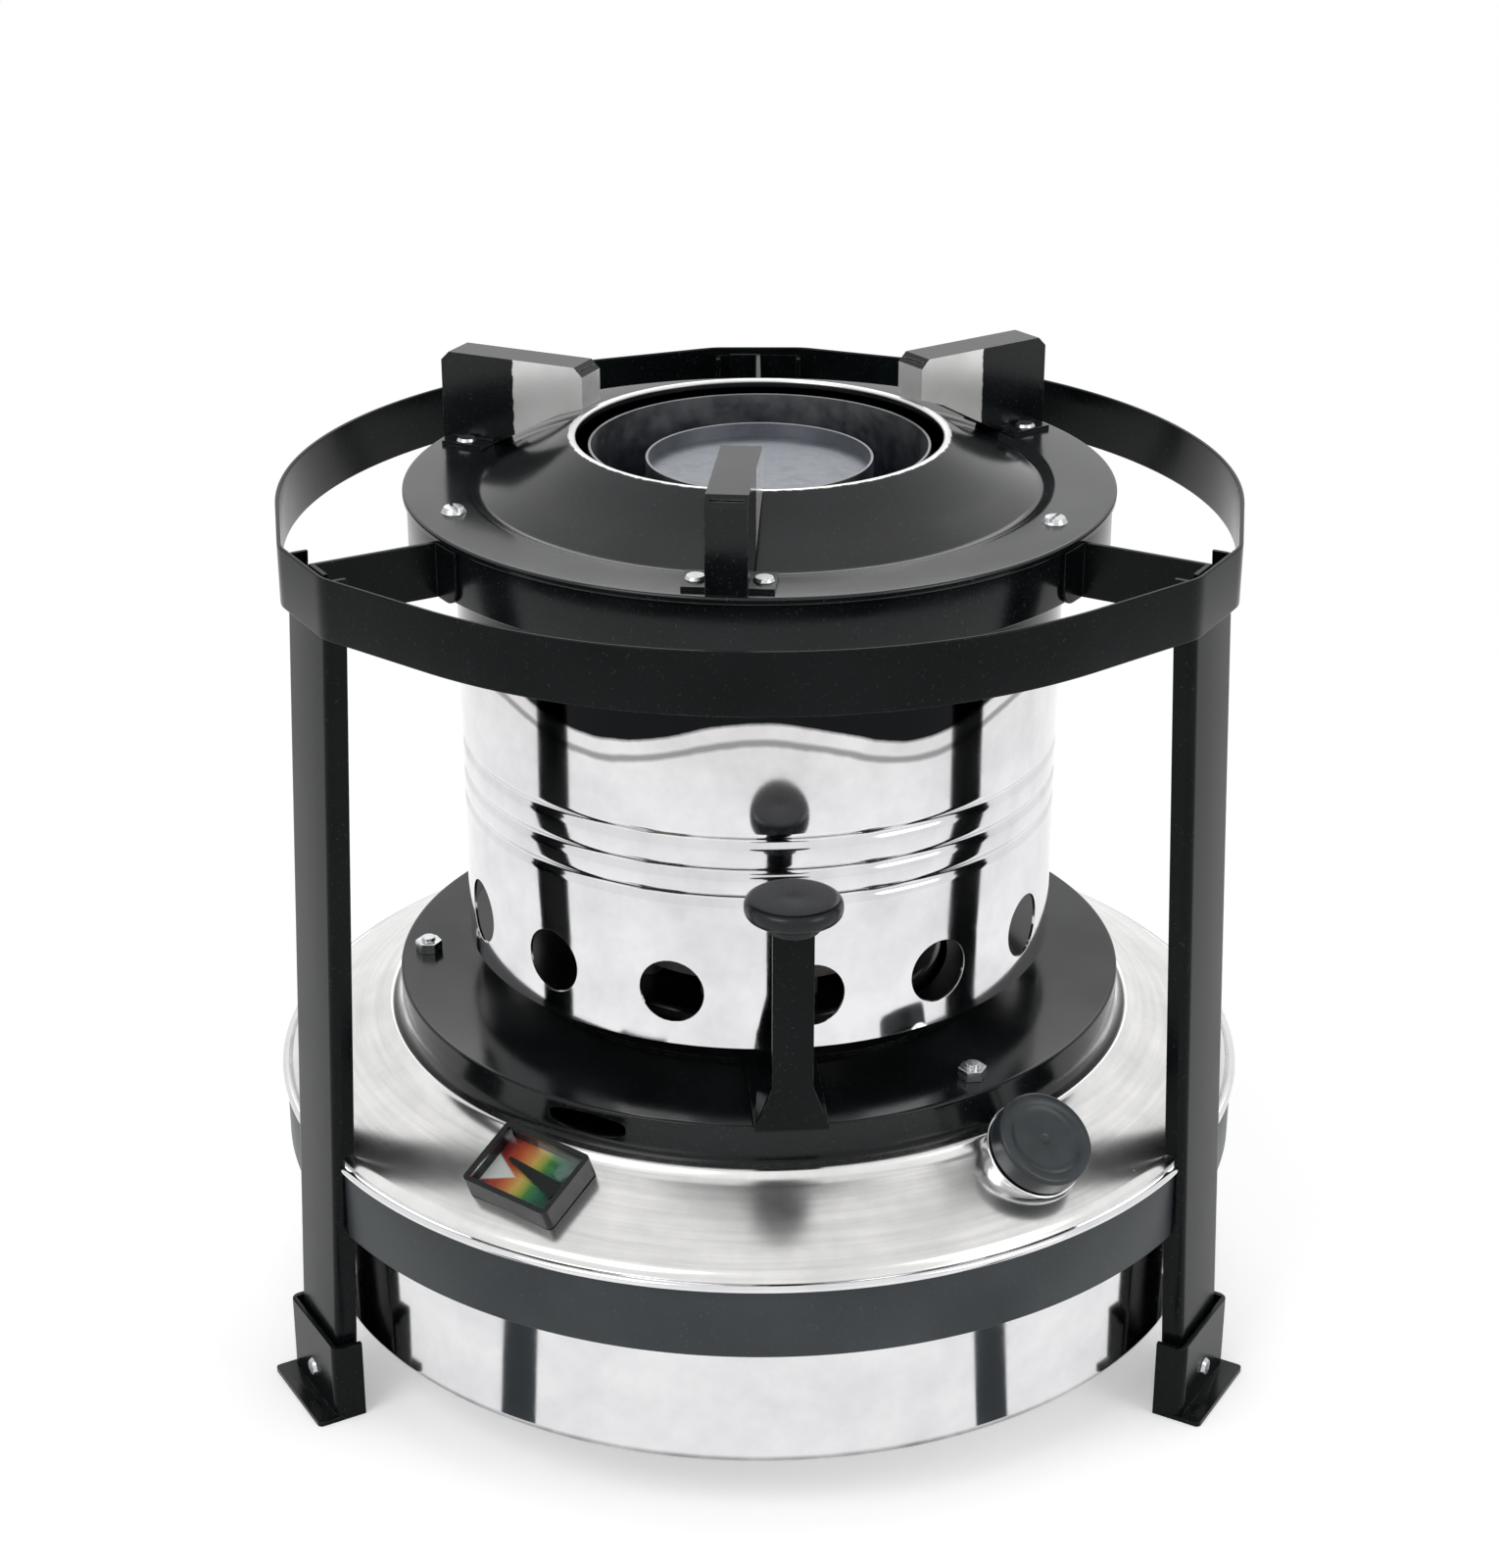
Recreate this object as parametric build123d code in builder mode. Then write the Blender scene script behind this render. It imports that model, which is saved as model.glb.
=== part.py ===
"""Kerosene wick stove: three-legged stand, round tank, wick burner with a raising lever.

Millimetres, +Z up. The origin is the stove's own axis at the floor that its feet stand on.
Azimuths are in degrees about +Z from +X; the side that faces the user is at 270.
"""
from build123d import *
from math import atan2, cos, degrees, hypot, radians, sin, tan
import os

os.makedirs("parts", exist_ok=True)

# What serves the whole stove
overrun = 5.0
fit_gap = 0.05
loose_gap = 0.3
slot_gap = 0.45
head_taper = 30

# Tank: lower shell, with the seam that folds over the top sheet
tank_radius = 135.7
tank_sheet = 0.8
tank_floor = 23.5
tank_floor_inset = 6.7
tank_foot = 19.5
tank_foot_inset = 4.7
tank_foot_width = 3.7
tank_foot_bevel = 1.5
seam_reach = 7.9
seam_bevel = 0.7
seam_fold_width = 2.0

# Lower ring: a flat strip on edge under the seam
band_inset = 1.2
band_sheet = 1.2
band_bottom = 58.3
band_height = 20.2

# Tank top: rises are above the seam's underside, insets are in from the tank's wall, widths from the seam
well_rise = 3.5
shelf_rise = 17.5
shelf_inset = 27.5
bead_inset = 25.1
bead_rise = 18.9
slope_top_inset = 22.7
slope_top_rise = 16.5
slope_foot_width = 3.6
slope_foot_rise = 4.2
rim_foot_width = 2.4

# Legs: channels with the web outwards, splayed towards the floor
leg_azimuths = {"left": 210, "right": 330, "back": 90}
leg_width = 27.0
leg_depth = 6.0
leg_sheet = 1.2
leg_corner = 2.4
leg_top_drop = 3.0
leg_splay = 2.5
leg_relief_width = 0.5
leg_relief_height = 3.0

# Feet: sleeves round the leg ends, each with a sole that sticks out in front
foot_width = 33.5
foot_height = 24.0
foot_sheet = 1.4
foot_depth = 8.6
foot_toe = 5.9
foot_corner = 3.0
foot_rivet_radius = 2.8
foot_rivet_height = 9.0
foot_rivet_head = 1.1

# Upper ring: a flat strip on edge
ring_draw = 2.84
ring_sheet = 1.2
ring_drop = 1.0
ring_height = 17.0
ring_flat_half = 14.5
ring_blend = 20.4
ring_corner = 6.0

# Burner plate
plate_radius = 100.0
plate_top = 256.0
plate_sheet = 0.8
plate_lip = 2.0
groove_outer_inset = 18.0
groove_inset = 20.5
groove_inner_inset = 23.5
groove_depth = 1.4
mouth_radius = 51.4
cone_mid_reach = 12.6
cone_mid_rise = 5.9
mouth_bead = 1.8
mouth_rise = 13.3
mouth_bead_rise = 12.9
mouth_skirt_rise = 10.9

# Collar that carries the burner, and the arms that carry the collar
collar_inset = 1.1
collar_sheet = 1.2
collar_height = 16.5
arm_sheet = 1.5
arm_drop = 2.3
arm_height = 15.4
arm_tab_sheet = 1.2
arm_tab_width = 11.0
arm_tab_corner = 5.0
arm_end_tab = 10.0

# Pot supports: inverted channels, their heights taken from the plate
support_azimuths = {"left": 155, "right": 35, "front": 265}
support_width = 11.0
support_sheet = 1.2
support_outer_inset = 1.0
support_inner_reach = 1.6
support_rise = 26.0
support_bevel = 2.6
support_nose_rise = 14.2
support_belly_reach = 8.0
support_belly_rise = 11.5
support_heel_inset = 22.0
support_heel_rise = 2.4
support_foot_width = 6.5
support_foot_length = 13.0
support_foot_inset = 3.0
support_foot_sheet = 1.2
rivet_radius = 2.0
rivet_head = 1.0
screw_azimuths = (201, 333, 93)
screw_inset = 11.0
screw_radius = 3.6
screw_head = 1.6
screw_slot = 0.9

# Burner base: the black pan on the tank
pan_gap = 1.2
pan_rise = 12.0
pan_sheet = 1.0
pan_corner = 1.2
pan_slot_azimuth = 243.7
pan_slot_width = 24.0
pan_slot_height = 6.5
pan_slot_drop = 2.0
stud_azimuths = (181, 306.4, 65)
stud_inset = 8.0
stud_radius = 2.0
nut_across = 7.0
nut_sides = 6
nut_height = 3.2
stud_end = 1.2

# Drum round the flame, with rises above its own lower edge
drum_inset = 14.0
drum_sheet = 0.8
drum_lift = 12.0
drum_flange_width = 6.0
drum_groove_rises = (45.0, 53.0, 62.0)
drum_groove_half = 1.7
drum_groove_depth = 0.9
air_hole_count = 14
air_hole_radius = 9.2
air_hole_rise = 16.0
air_hole_first = 228.0

# Flame cylinders, perforated, and the rods that hold them in the drum
flame_lift = 13.0
outer_flame_gap = 3.4
outer_flame_rise = 10.0
flame_gap = 16.0
inner_flame_rise = 6.0
inner_flame_cap_drop = 4.0
flame_sheet = 0.8
perforation_radius = 2.6
perforation_sides = 4
perforation_rises = (51.0, 71.0, 91.0, 111.0)
outer_perforations = 14
inner_perforations = 10
rod_radius = 1.2
rod_rise = 29.0
rod_azimuths = (34, 154, 274)
rod_end = 0.8

# Wicks, tubes, carrier and housing, from the wicks outwards, with heights from the pan
wick_count = 10
wick_inset = 8.25
wick_radius = 3.7
wick_floor_gap = 11.5
wick_rise = 22.0
tube_radius = 4.4
tube_bore = 4.0
tube_drop = 1.5
tube_rise = 19.0
carrier_half = 11.75
carrier_hole_half = 12.25
carrier_sheet = 1.5
carrier_drop = 10.35
pin_radius = 1.5
pin_end = 0.6
pin_azimuths = (30, 150, 270)
housing_gap = 2.5
housing_sheet = 0.8
housing_rise = 5.2
housing_bevel = 1.0
guide_slot_length = 20.0
guide_slot_drop = 2.0

# Lever ring with three rising slots, the lever on it and its knob
lever_azimuth = 274.4
lever_back = 24
lever_forward = 16
rise_per_degree = 0.4
slot_steps = 5
lever_ring_gap = 2.0
lever_ring_sheet = 1.2
lever_ring_drop = 23.5
lever_flange_width = 14.3
lever_sheet = 1.5
lever_start = 2.3
lever_clearance = 21.0
lever_arm_width = 20.0
lever_flare_rise = 15.0
stem_width = 11.0
stem_rise = 66.0
lever_rivet_start = 8.3
lever_rivet_spread = 5.0
knob_radius = 13.0
knob_height = 5.2
knob_over_stem = 4.6
knob_edge = 2.2
knob_boss_radius = 7.2
knob_boss_height = 3.8

# Well of the tank top, from the lever ring outwards
well_hole_gap = 2.5
well_gap = 5.0
well_bend = 3.5
housing_flange_inset = 3.0

# Filler neck and its cap, leaning outwards
filler_azimuth = 307.4
filler_inset = 15.4
filler_lean = 38
neck_radius = 10.5
neck_sheet = 0.8
neck_collar_radius = 12.4
neck_from = -6.0
neck_to = 10.0
neck_flange_radius = 14.2
neck_flange_from = 4.2
neck_flange_sheet = 0.8
gasket_radius = 12.8
gasket_sheet = 0.9
cap_radius = 13.8
cap_to = 12.6
cap_edge = 1.0
cap_roof = 10.8
cap_dish_radius = 10.8
cap_dish_depth = 1.0
cap_dot_radius = 1.3
cap_dot_depth = 0.6

# Fuel gauge on the slope of the tank, and the float that drives it
gauge_azimuth = 240.0
gauge_inset = 12.6
gauge_turn = -6.5
gauge_length = 29.0
gauge_width = 21.6
gauge_height = 7.0
gauge_wall = 1.6
gauge_bottom = 1.2
gauge_corner = 1.6
dial_sheet = 0.6
window_drop = 0.6
window_sheet = 1.0
pointer_pivot = (8.4, -0.9)
pointer_lift = 2.7
pointer_sheet = 0.9
pointer_length = 17.0
pointer_tail = 2.6
pointer_tip = 0.5
pointer_rest = 170
pointer_shaft_radius = 1.0
bevel_depth = 19.0
bevel_near = 4.0
bevel_far = 7.0
bevel_taper = 45
axle_radius = 1.2
axle_out = 14.0
bracket_from = 11.0
bracket_sheet = 1.2
bracket_half = 5.0
float_arm_radius = 1.0
float_arm_length = 52.0
float_arm_drop = 45
float_arm_at = 8.6
float_radius = 9.0
float_length = 24.0

# Radii that follow from those above, from the tank's wall inwards and outwards
tank_floor_edge = tank_radius - tank_floor_inset
tank_foot_inner = tank_radius - tank_foot_inset
tank_foot_outer = tank_foot_inner + tank_foot_width
seam_radius = tank_radius + seam_reach
seam_fold = seam_radius - seam_fold_width
band_radius = seam_radius - band_inset
leg_relief_radius = seam_fold + leg_relief_width
shelf_outer = tank_radius - shelf_inset
bead_radius = tank_radius - bead_inset
slope_top_radius = tank_radius - slope_top_inset
slope_foot_radius = seam_radius - slope_foot_width
rim_foot_radius = seam_radius - rim_foot_width
pan_radius = shelf_outer - pan_gap
stud_reach = pan_radius - stud_inset
filler_reach = tank_radius - filler_inset
gauge_reach = tank_radius - gauge_inset

# Radii of the burner
groove_outer_radius = plate_radius - groove_outer_inset
groove_radius = plate_radius - groove_inset
groove_inner_radius = plate_radius - groove_inner_inset
cone_mid_radius = mouth_radius + cone_mid_reach
collar_radius = plate_radius - collar_inset
support_outer = plate_radius - support_outer_inset
support_inner = mouth_radius + support_inner_reach
support_belly_radius = support_inner + support_belly_reach
support_heel_radius = plate_radius - support_heel_inset
support_foot_to = support_outer - support_foot_inset
support_foot_from = support_foot_to - support_foot_length
screw_reach = plate_radius - screw_inset
drum_radius = plate_radius - drum_inset
drum_flange = drum_radius + drum_flange_width
lever_reach = drum_flange + lever_clearance
outer_flame_radius = mouth_radius - outer_flame_gap
inner_flame_radius = outer_flame_radius - flame_gap

# Radii of the wick gear
wick_circle = inner_flame_radius + wick_inset
carrier_radius = wick_circle + carrier_half
carrier_hole = wick_circle - carrier_hole_half
housing_radius = carrier_radius + housing_gap
lever_ring_inner = housing_radius + lever_ring_gap
lever_ring_outer = lever_ring_inner + lever_ring_sheet
lever_ring_flange = lever_ring_outer + lever_flange_width
pin_reach = lever_ring_outer + pin_end
pan_hole = lever_ring_outer + loose_gap
lever_from = lever_ring_outer + lever_start
lever_rivet_from = lever_ring_outer + lever_rivet_start
well_hole = housing_radius + well_hole_gap
well_radius = lever_ring_flange + well_gap
shelf_inner = well_radius + well_bend
housing_flange = well_radius - housing_flange_inset

# Heights of the stand and the plate
leg_top = plate_top - leg_top_drop
ring_top = plate_top - ring_drop
ring_bottom = ring_top - ring_height
collar_top = plate_top - plate_sheet
collar_bottom = collar_top - collar_height
arm_top = plate_top - arm_drop
arm_bottom = arm_top - arm_height
support_top = plate_top + support_rise
support_nose_bottom = plate_top + support_nose_rise
support_belly_bottom = plate_top + support_belly_rise
support_heel_bottom = plate_top + support_heel_rise

# Heights of the tank
band_top = band_bottom + band_height
seam_bottom = band_top
seam_inner_height = seam_bottom + tank_sheet
seam_top = seam_inner_height + 2 * tank_sheet
tank_foot_rise = tank_foot + tank_foot_bevel
well_floor = seam_bottom + well_rise
shelf_height = seam_bottom + shelf_rise
bead_height = seam_bottom + bead_rise
slope_top_height = seam_bottom + slope_top_rise
slope_foot_height = seam_bottom + slope_foot_rise
leg_relief_top = seam_top + leg_relief_height

# Heights of the burner and the wick gear, from the pan upwards
pan_top = shelf_height + pan_rise
pan_slot_top = pan_top - pan_slot_drop
pan_slot_bottom = pan_slot_top - pan_slot_height
drum_bottom = pan_top + drum_lift
air_hole_height = drum_bottom + air_hole_rise
flame_bottom = pan_top + flame_lift
rod_height = flame_bottom + rod_rise
outer_flame_top = plate_top + outer_flame_rise
inner_flame_top = plate_top + inner_flame_rise
wick_bottom = tank_floor + wick_floor_gap
wick_top = pan_top + wick_rise
tube_bottom = pan_top - tube_drop
tube_top = pan_top + tube_rise
carrier_height = pan_top - carrier_drop
housing_top = pan_top + housing_rise
guide_slot_top = pan_top - guide_slot_drop
guide_slot_bottom = guide_slot_top - guide_slot_length
lever_ring_bottom = pan_top - lever_ring_drop
lever_flare_top = pan_top + lever_flare_rise
stem_top = pan_top + stem_rise
knob_top = stem_top + knob_over_stem
knob_bottom = knob_top - knob_height
knob_boss_bottom = knob_bottom - knob_boss_height


def turned(outline):
    """The solid that a closed outline of radius and height makes when it is turned round the axis."""
    with BuildPart() as body:
        with BuildSketch(Plane.XZ):
            with BuildLine():
                Polyline(*outline, close=True)
            make_face()
        revolve(axis=Axis.Z)
    return body.part


def sheet_outline(line, thickness):
    """The closed outline of a sheet: a drawn line, and the same line offset to the left of its run.
    Each corner is mitred: the sum of both side normals over one plus their product."""
    normals = []
    for (x0, y0), (x1, y1) in zip(line, line[1:]):
        length = hypot(x1 - x0, y1 - y0)
        normals.append(((y0 - y1) / length, (x1 - x0) / length))
    before = [normals[0]] + normals
    after = normals + [normals[-1]]
    other_side = []
    for (x, y), (ax, ay), (bx, by) in zip(line, before, after):
        reach = thickness / (1 + ax * bx + ay * by)
        other_side.append((x + (ax + bx) * reach, y + (ay + by) * reach))
    return list(line) + other_side[::-1]


def polar(radius, azimuth, height=0):
    """The point at a radius and azimuth."""
    return (radius * cos(radians(azimuth)), radius * sin(radians(azimuth)), height)


def radial_plane(azimuth, height=0):
    """The plane at a height on the axis whose local z looks outwards at the azimuth and whose y is up."""
    outwards = (cos(radians(azimuth)), sin(radians(azimuth)), 0)
    sideways = (-sin(radians(azimuth)), cos(radians(azimuth)), 0)
    return Plane(origin=(0, 0, height), x_dir=sideways, z_dir=outwards)


def leaning_plane(azimuth, reach, height, lean):
    """The plane at a point of the tank whose normal leans outwards from upright, x along the tangent."""
    outwards = (cos(radians(azimuth)) * sin(radians(lean)), sin(radians(azimuth)) * sin(radians(lean)))
    tangent = (-sin(radians(azimuth)), cos(radians(azimuth)), 0)
    return Plane(origin=polar(reach, azimuth, height), x_dir=tangent, z_dir=(*outwards, cos(radians(lean))))


def turned_to(azimuth, piece):
    """A piece that is drawn at azimuth 0, turned to its own azimuth."""
    return Rot(0, 0, azimuth) * piece


def save(name, piece):
    """Labels a piece and writes its file."""
    piece.label = name
    export_step(piece, f"parts/{name}.step")


def leg_face(height):
    """How far the leg's outer face is from the axis at a height."""
    return seam_radius + leg_sheet + (band_top - height) * tan(radians(leg_splay))


# Slopes that follow from the sizes above
leg_lean = (-tan(radians(leg_splay)), 0, 1)
tank_slope = degrees(atan2(slope_top_height - slope_foot_height, slope_foot_radius - slope_top_radius))


def slope_height(radius):
    """Height of the tank's sloping top at a radius."""
    return slope_top_height - (radius - slope_top_radius) * tan(radians(tank_slope))


filler_plane = leaning_plane(filler_azimuth, filler_reach, slope_height(filler_reach), filler_lean)
slope_plane = leaning_plane(gauge_azimuth, gauge_reach, slope_height(gauge_reach), tank_slope)
gauge_plane = Plane(slope_plane.location * Rot(0, 0, gauge_turn))


# Legs
leg_foot_height = foot_sheet
leg_foot_face = leg_face(leg_foot_height)
leg_rise = leg_top - leg_foot_height

with BuildPart() as leg:
    with BuildSketch(Plane.XY.offset(leg_foot_height)) as channel:
        with Locations((leg_foot_face, 0)):
            Rectangle(leg_depth, leg_width, align=(Align.MAX, Align.CENTER))
        fillet(channel.vertices().group_by(Axis.X)[-1], leg_corner)
        with Locations((leg_foot_face - leg_sheet, 0)):
            Rectangle(
                leg_depth, leg_width - 2 * leg_sheet, align=(Align.MAX, Align.CENTER), mode=Mode.SUBTRACT
            )
    extrude(amount=leg_rise / cos(radians(leg_splay)), dir=leg_lean)
    # The flanges are cut to the lower ring's round and let the tank's seam pass
    with Locations((0, 0, band_bottom)):
        Cylinder(
            band_radius,
            band_top - band_bottom,
            align=(Align.CENTER, Align.CENTER, Align.MIN),
            mode=Mode.SUBTRACT,
        )
    with Locations((0, 0, band_top)):
        Cylinder(
            seam_radius,
            seam_top - band_top,
            align=(Align.CENTER, Align.CENTER, Align.MIN),
            mode=Mode.SUBTRACT,
        )
    with Locations((0, 0, seam_top)):
        Cylinder(
            leg_relief_radius,
            leg_relief_top - seam_top,
            align=(Align.CENTER, Align.CENTER, Align.MIN),
            mode=Mode.SUBTRACT,
        )

# Feet
foot_face = leg_foot_face + foot_sheet

with BuildPart() as foot:
    with BuildSketch() as sole:
        with Locations((foot_face + foot_toe, 0)):
            Rectangle(foot_depth + foot_toe, foot_width, align=(Align.MAX, Align.CENTER))
        fillet(sole.vertices().group_by(Axis.X)[-1], foot_sheet)
    extrude(amount=foot_sheet)
    with BuildSketch() as sleeve:
        with Locations((foot_face, 0)):
            Rectangle(foot_depth, foot_width, align=(Align.MAX, Align.CENTER))
        fillet(sleeve.vertices().group_by(Axis.X)[-1], foot_corner)
        with Locations((leg_foot_face, 0)):
            Rectangle(
                foot_depth, foot_width - 2 * foot_sheet, align=(Align.MAX, Align.CENTER), mode=Mode.SUBTRACT
            )
    extrude(amount=foot_height)
    with BuildSketch(radial_plane(0, foot_rivet_height)):
        Circle(rivet_radius)
    extrude(amount=foot_face + overrun, mode=Mode.SUBTRACT)

shank_from = leg_face(foot_rivet_height - rivet_radius)

with BuildPart() as foot_rivet:
    with BuildSketch(radial_plane(0, foot_rivet_height).offset(shank_from)):
        Circle(rivet_radius)
    extrude(amount=foot_face - shank_from)
    with BuildSketch(radial_plane(0, foot_rivet_height).offset(foot_face)):
        Circle(foot_rivet_radius)
    extrude(amount=foot_rivet_head, taper=head_taper)

for side, azimuth in leg_azimuths.items():
    save(f"leg_{side}", turned_to(azimuth, leg.part))
    save(f"foot_{side}", turned_to(azimuth, foot.part))
save(
    "foot_rivets",
    Compound(children=[turned_to(azimuth, foot_rivet.part) for azimuth in leg_azimuths.values()]),
)

# Upper ring: round between the legs and drawn out flat over each leg's web
ring_flat_inner = leg_face(ring_bottom)
ring_radius = ring_flat_inner - ring_draw


def ring_face(radius, flat_reach):
    """Outline of the ring: an arc between the legs, a straight blend and a flat over each leg."""
    azimuths = sorted(leg_azimuths.values())
    corner_reach = hypot(flat_reach, ring_flat_half)
    corner_turn = degrees(atan2(ring_flat_half, flat_reach))
    with BuildSketch(Plane.XY.offset(ring_bottom)) as face:
        with BuildLine():
            for here, there in zip(azimuths, azimuths[1:] + [azimuths[0] + 360]):
                middle = (here + there) / 2
                Line(polar(corner_reach, here - corner_turn), polar(corner_reach, here + corner_turn))
                Line(polar(corner_reach, here + corner_turn), polar(radius, here + ring_blend))
                ThreePointArc(
                    polar(radius, here + ring_blend),
                    polar(radius, middle),
                    polar(radius, there - ring_blend),
                )
                Line(polar(radius, there - ring_blend), polar(corner_reach, there - corner_turn))
        make_face()
        corners = face.vertices().filter_by(lambda corner: hypot(corner.X, corner.Y) > radius + ring_sheet)
        fillet(corners, ring_corner)
    return face.sketch


with BuildPart() as upper_ring:
    add(ring_face(ring_radius, ring_flat_inner + ring_sheet))
    extrude(amount=ring_top - ring_bottom)
    add(ring_face(ring_radius - ring_sheet, ring_flat_inner))
    extrude(amount=ring_top - ring_bottom, mode=Mode.SUBTRACT)
save("upper_ring", upper_ring.part)

# Lower ring and collar
lower_ring = turned(
    [
        (band_radius - band_sheet, band_bottom),
        (band_radius, band_bottom),
        (band_radius, band_top),
        (band_radius - band_sheet, band_top),
    ]
)
save("lower_ring", lower_ring)

collar = turned(
    [
        (collar_radius - collar_sheet, collar_bottom),
        (collar_radius, collar_bottom),
        (collar_radius, collar_top),
        (collar_radius - collar_sheet, collar_top),
    ]
)
save("collar", collar)

# Arms: each ends in a tab on the collar and another inside the leg
arm_end_face = leg_face(arm_bottom) - leg_sheet
arm_tab_turn = degrees(arm_tab_width / collar_radius)

with BuildPart() as arm:
    with BuildSketch(Plane.XY.offset(arm_bottom)):
        with Locations((collar_radius, 0)):
            Rectangle(
                leg_face(arm_top) - leg_sheet - arm_sheet / 2 - collar_radius,
                arm_sheet,
                align=(Align.MIN, Align.CENTER),
            )
    extrude(amount=arm_top - arm_bottom)
    with BuildSketch(Plane.XY.offset(arm_bottom)):
        with Locations((arm_end_face, -arm_sheet / 2)):
            Rectangle(arm_sheet, arm_end_tab, align=(Align.MAX, Align.MIN))
    extrude(amount=(arm_top - arm_bottom) / cos(radians(leg_splay)), dir=leg_lean)
    with BuildSketch(Plane.XZ):
        with Locations((collar_radius, arm_bottom)):
            Rectangle(arm_tab_sheet, arm_top - arm_bottom, align=(Align.MIN, Align.MIN))
    revolve(axis=Axis.Z, revolution_arc=arm_tab_turn)
    tab_end = arm.faces().filter_by(lambda face: face.center().X < collar_radius + arm_tab_sheet)
    tab_corner = tab_end.sort_by(Axis.Y)[-1].edges().sort_by(Axis.Z)[0]
    fillet(tab_corner, arm_tab_corner)

mirrored_arm = mirror(arm.part, about=Plane.XZ)
for side, azimuth in leg_azimuths.items():
    save(f"arm_{side}", turned_to(azimuth, mirrored_arm if side == "right" else arm.part))

# Burner plate
plate_line = [
    (mouth_radius, plate_top + mouth_skirt_rise),
    (mouth_radius, plate_top + mouth_bead_rise),
    (mouth_radius + mouth_bead, plate_top + mouth_rise),
    (cone_mid_radius, plate_top + cone_mid_rise),
    (groove_inner_radius, plate_top),
    (groove_radius, plate_top - groove_depth),
    (groove_outer_radius, plate_top),
    (plate_radius, plate_top),
    (plate_radius, plate_top - plate_lip),
]

with BuildPart() as top_plate:
    add(turned(sheet_outline(plate_line, -plate_sheet)))
    for azimuth in screw_azimuths:
        with Locations(polar(screw_reach, azimuth, plate_top)):
            Cylinder(rivet_radius, overrun, mode=Mode.SUBTRACT)
save("top_plate", top_plate.part)

# Pot supports: an inverted channel with two riveted feet
shoulder = support_top - plate_top
support_side = [
    (support_outer, plate_top),
    (support_outer, support_top - support_bevel),
    (support_outer - support_bevel, support_top),
    (support_inner + support_bevel, support_top),
    (support_inner, support_top - support_bevel),
    (support_inner, support_nose_bottom),
    (support_belly_radius, support_belly_bottom),
    (support_heel_radius, support_heel_bottom),
    (support_foot_from, plate_top),
]
hollow_from = support_inner + support_sheet
hollow_to = support_outer - support_sheet
foot_middle = (support_foot_from + support_foot_to) / 2
foot_rivet_side = (support_width + support_foot_width) / 2

with BuildPart() as support:
    with BuildSketch(Plane.XZ):
        with BuildLine():
            Polyline(*support_side, close=True)
        make_face()
    extrude(amount=support_width / 2, both=True)
    with BuildSketch(Plane.XZ):
        with Locations((hollow_from, support_top - support_sheet)):
            Rectangle(hollow_to - hollow_from, shoulder + overrun, align=(Align.MIN, Align.MAX))
    extrude(amount=support_width / 2 - support_sheet, both=True, mode=Mode.SUBTRACT)
    with BuildSketch(Plane.XY.offset(plate_top)):
        for way in (-1, 1):
            with Locations((foot_middle, way * foot_rivet_side)):
                Rectangle(support_foot_to - support_foot_from, support_foot_width)
                Circle(rivet_radius, mode=Mode.SUBTRACT)
    extrude(amount=support_foot_sheet)

with BuildPart() as support_rivet:
    for way in (-1, 1):
        with BuildSketch(Plane.XY.offset(plate_top)):
            with Locations((foot_middle, way * foot_rivet_side)):
                Circle(rivet_radius)
        extrude(amount=support_foot_sheet)
        with BuildSketch(Plane.XY.offset(plate_top + support_foot_sheet)):
            with Locations((foot_middle, way * foot_rivet_side)):
                Circle(rivet_radius + rivet_head)
        extrude(amount=rivet_head, taper=head_taper)

for side, azimuth in support_azimuths.items():
    save(f"pot_support_{side}", turned_to(azimuth, support.part))
save(
    "support_rivets",
    Compound(children=[turned_to(azimuth, support_rivet.part) for azimuth in support_azimuths.values()]),
)

# Screws that join the plate and the drum
with BuildPart() as plate_screw:
    with BuildSketch(Plane.XY.offset(plate_top)):
        with Locations((screw_reach, 0)):
            Circle(screw_radius)
    extrude(amount=screw_head, taper=head_taper)
    with BuildSketch(Plane.XY.offset(plate_top + screw_head)):
        with Locations((screw_reach, 0)):
            Rectangle(screw_slot, 2 * screw_radius)
    extrude(amount=-screw_slot, mode=Mode.SUBTRACT)
    with BuildSketch(Plane.XY.offset(plate_top)):
        with Locations((screw_reach, 0)):
            Circle(rivet_radius)
    extrude(amount=-2 * plate_sheet)
save(
    "plate_screws",
    Compound(children=[turned_to(azimuth, plate_screw.part) for azimuth in screw_azimuths]),
)

# Drum with three rolled grooves and a row of air holes
drum_top = collar_top - plate_sheet
drum_line = [(drum_radius, drum_bottom)]
for rise in drum_groove_rises:
    height = drum_bottom + rise
    drum_line.append((drum_radius, height - drum_groove_half))
    drum_line.append((drum_radius - drum_groove_depth, height))
    drum_line.append((drum_radius, height + drum_groove_half))
drum_line.append((drum_radius, drum_top))
drum_line.append((drum_flange, drum_top))

with BuildPart() as drum:
    add(turned(sheet_outline(drum_line, drum_sheet)))
    for number in range(air_hole_count):
        azimuth = air_hole_first + number * 360 / air_hole_count
        with BuildSketch(radial_plane(azimuth, air_hole_height).offset(outer_flame_radius)):
            Circle(air_hole_radius)
        extrude(amount=drum_radius - outer_flame_radius + overrun, mode=Mode.SUBTRACT)
    for azimuth in rod_azimuths:
        with BuildSketch(radial_plane(azimuth, rod_height)):
            Circle(rod_radius)
        extrude(amount=drum_radius + overrun, mode=Mode.SUBTRACT)
    for azimuth in screw_azimuths:
        with Locations(polar(screw_reach, azimuth, drum_top)):
            Cylinder(rivet_radius, overrun, mode=Mode.SUBTRACT)
save("drum", drum.part)


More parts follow.
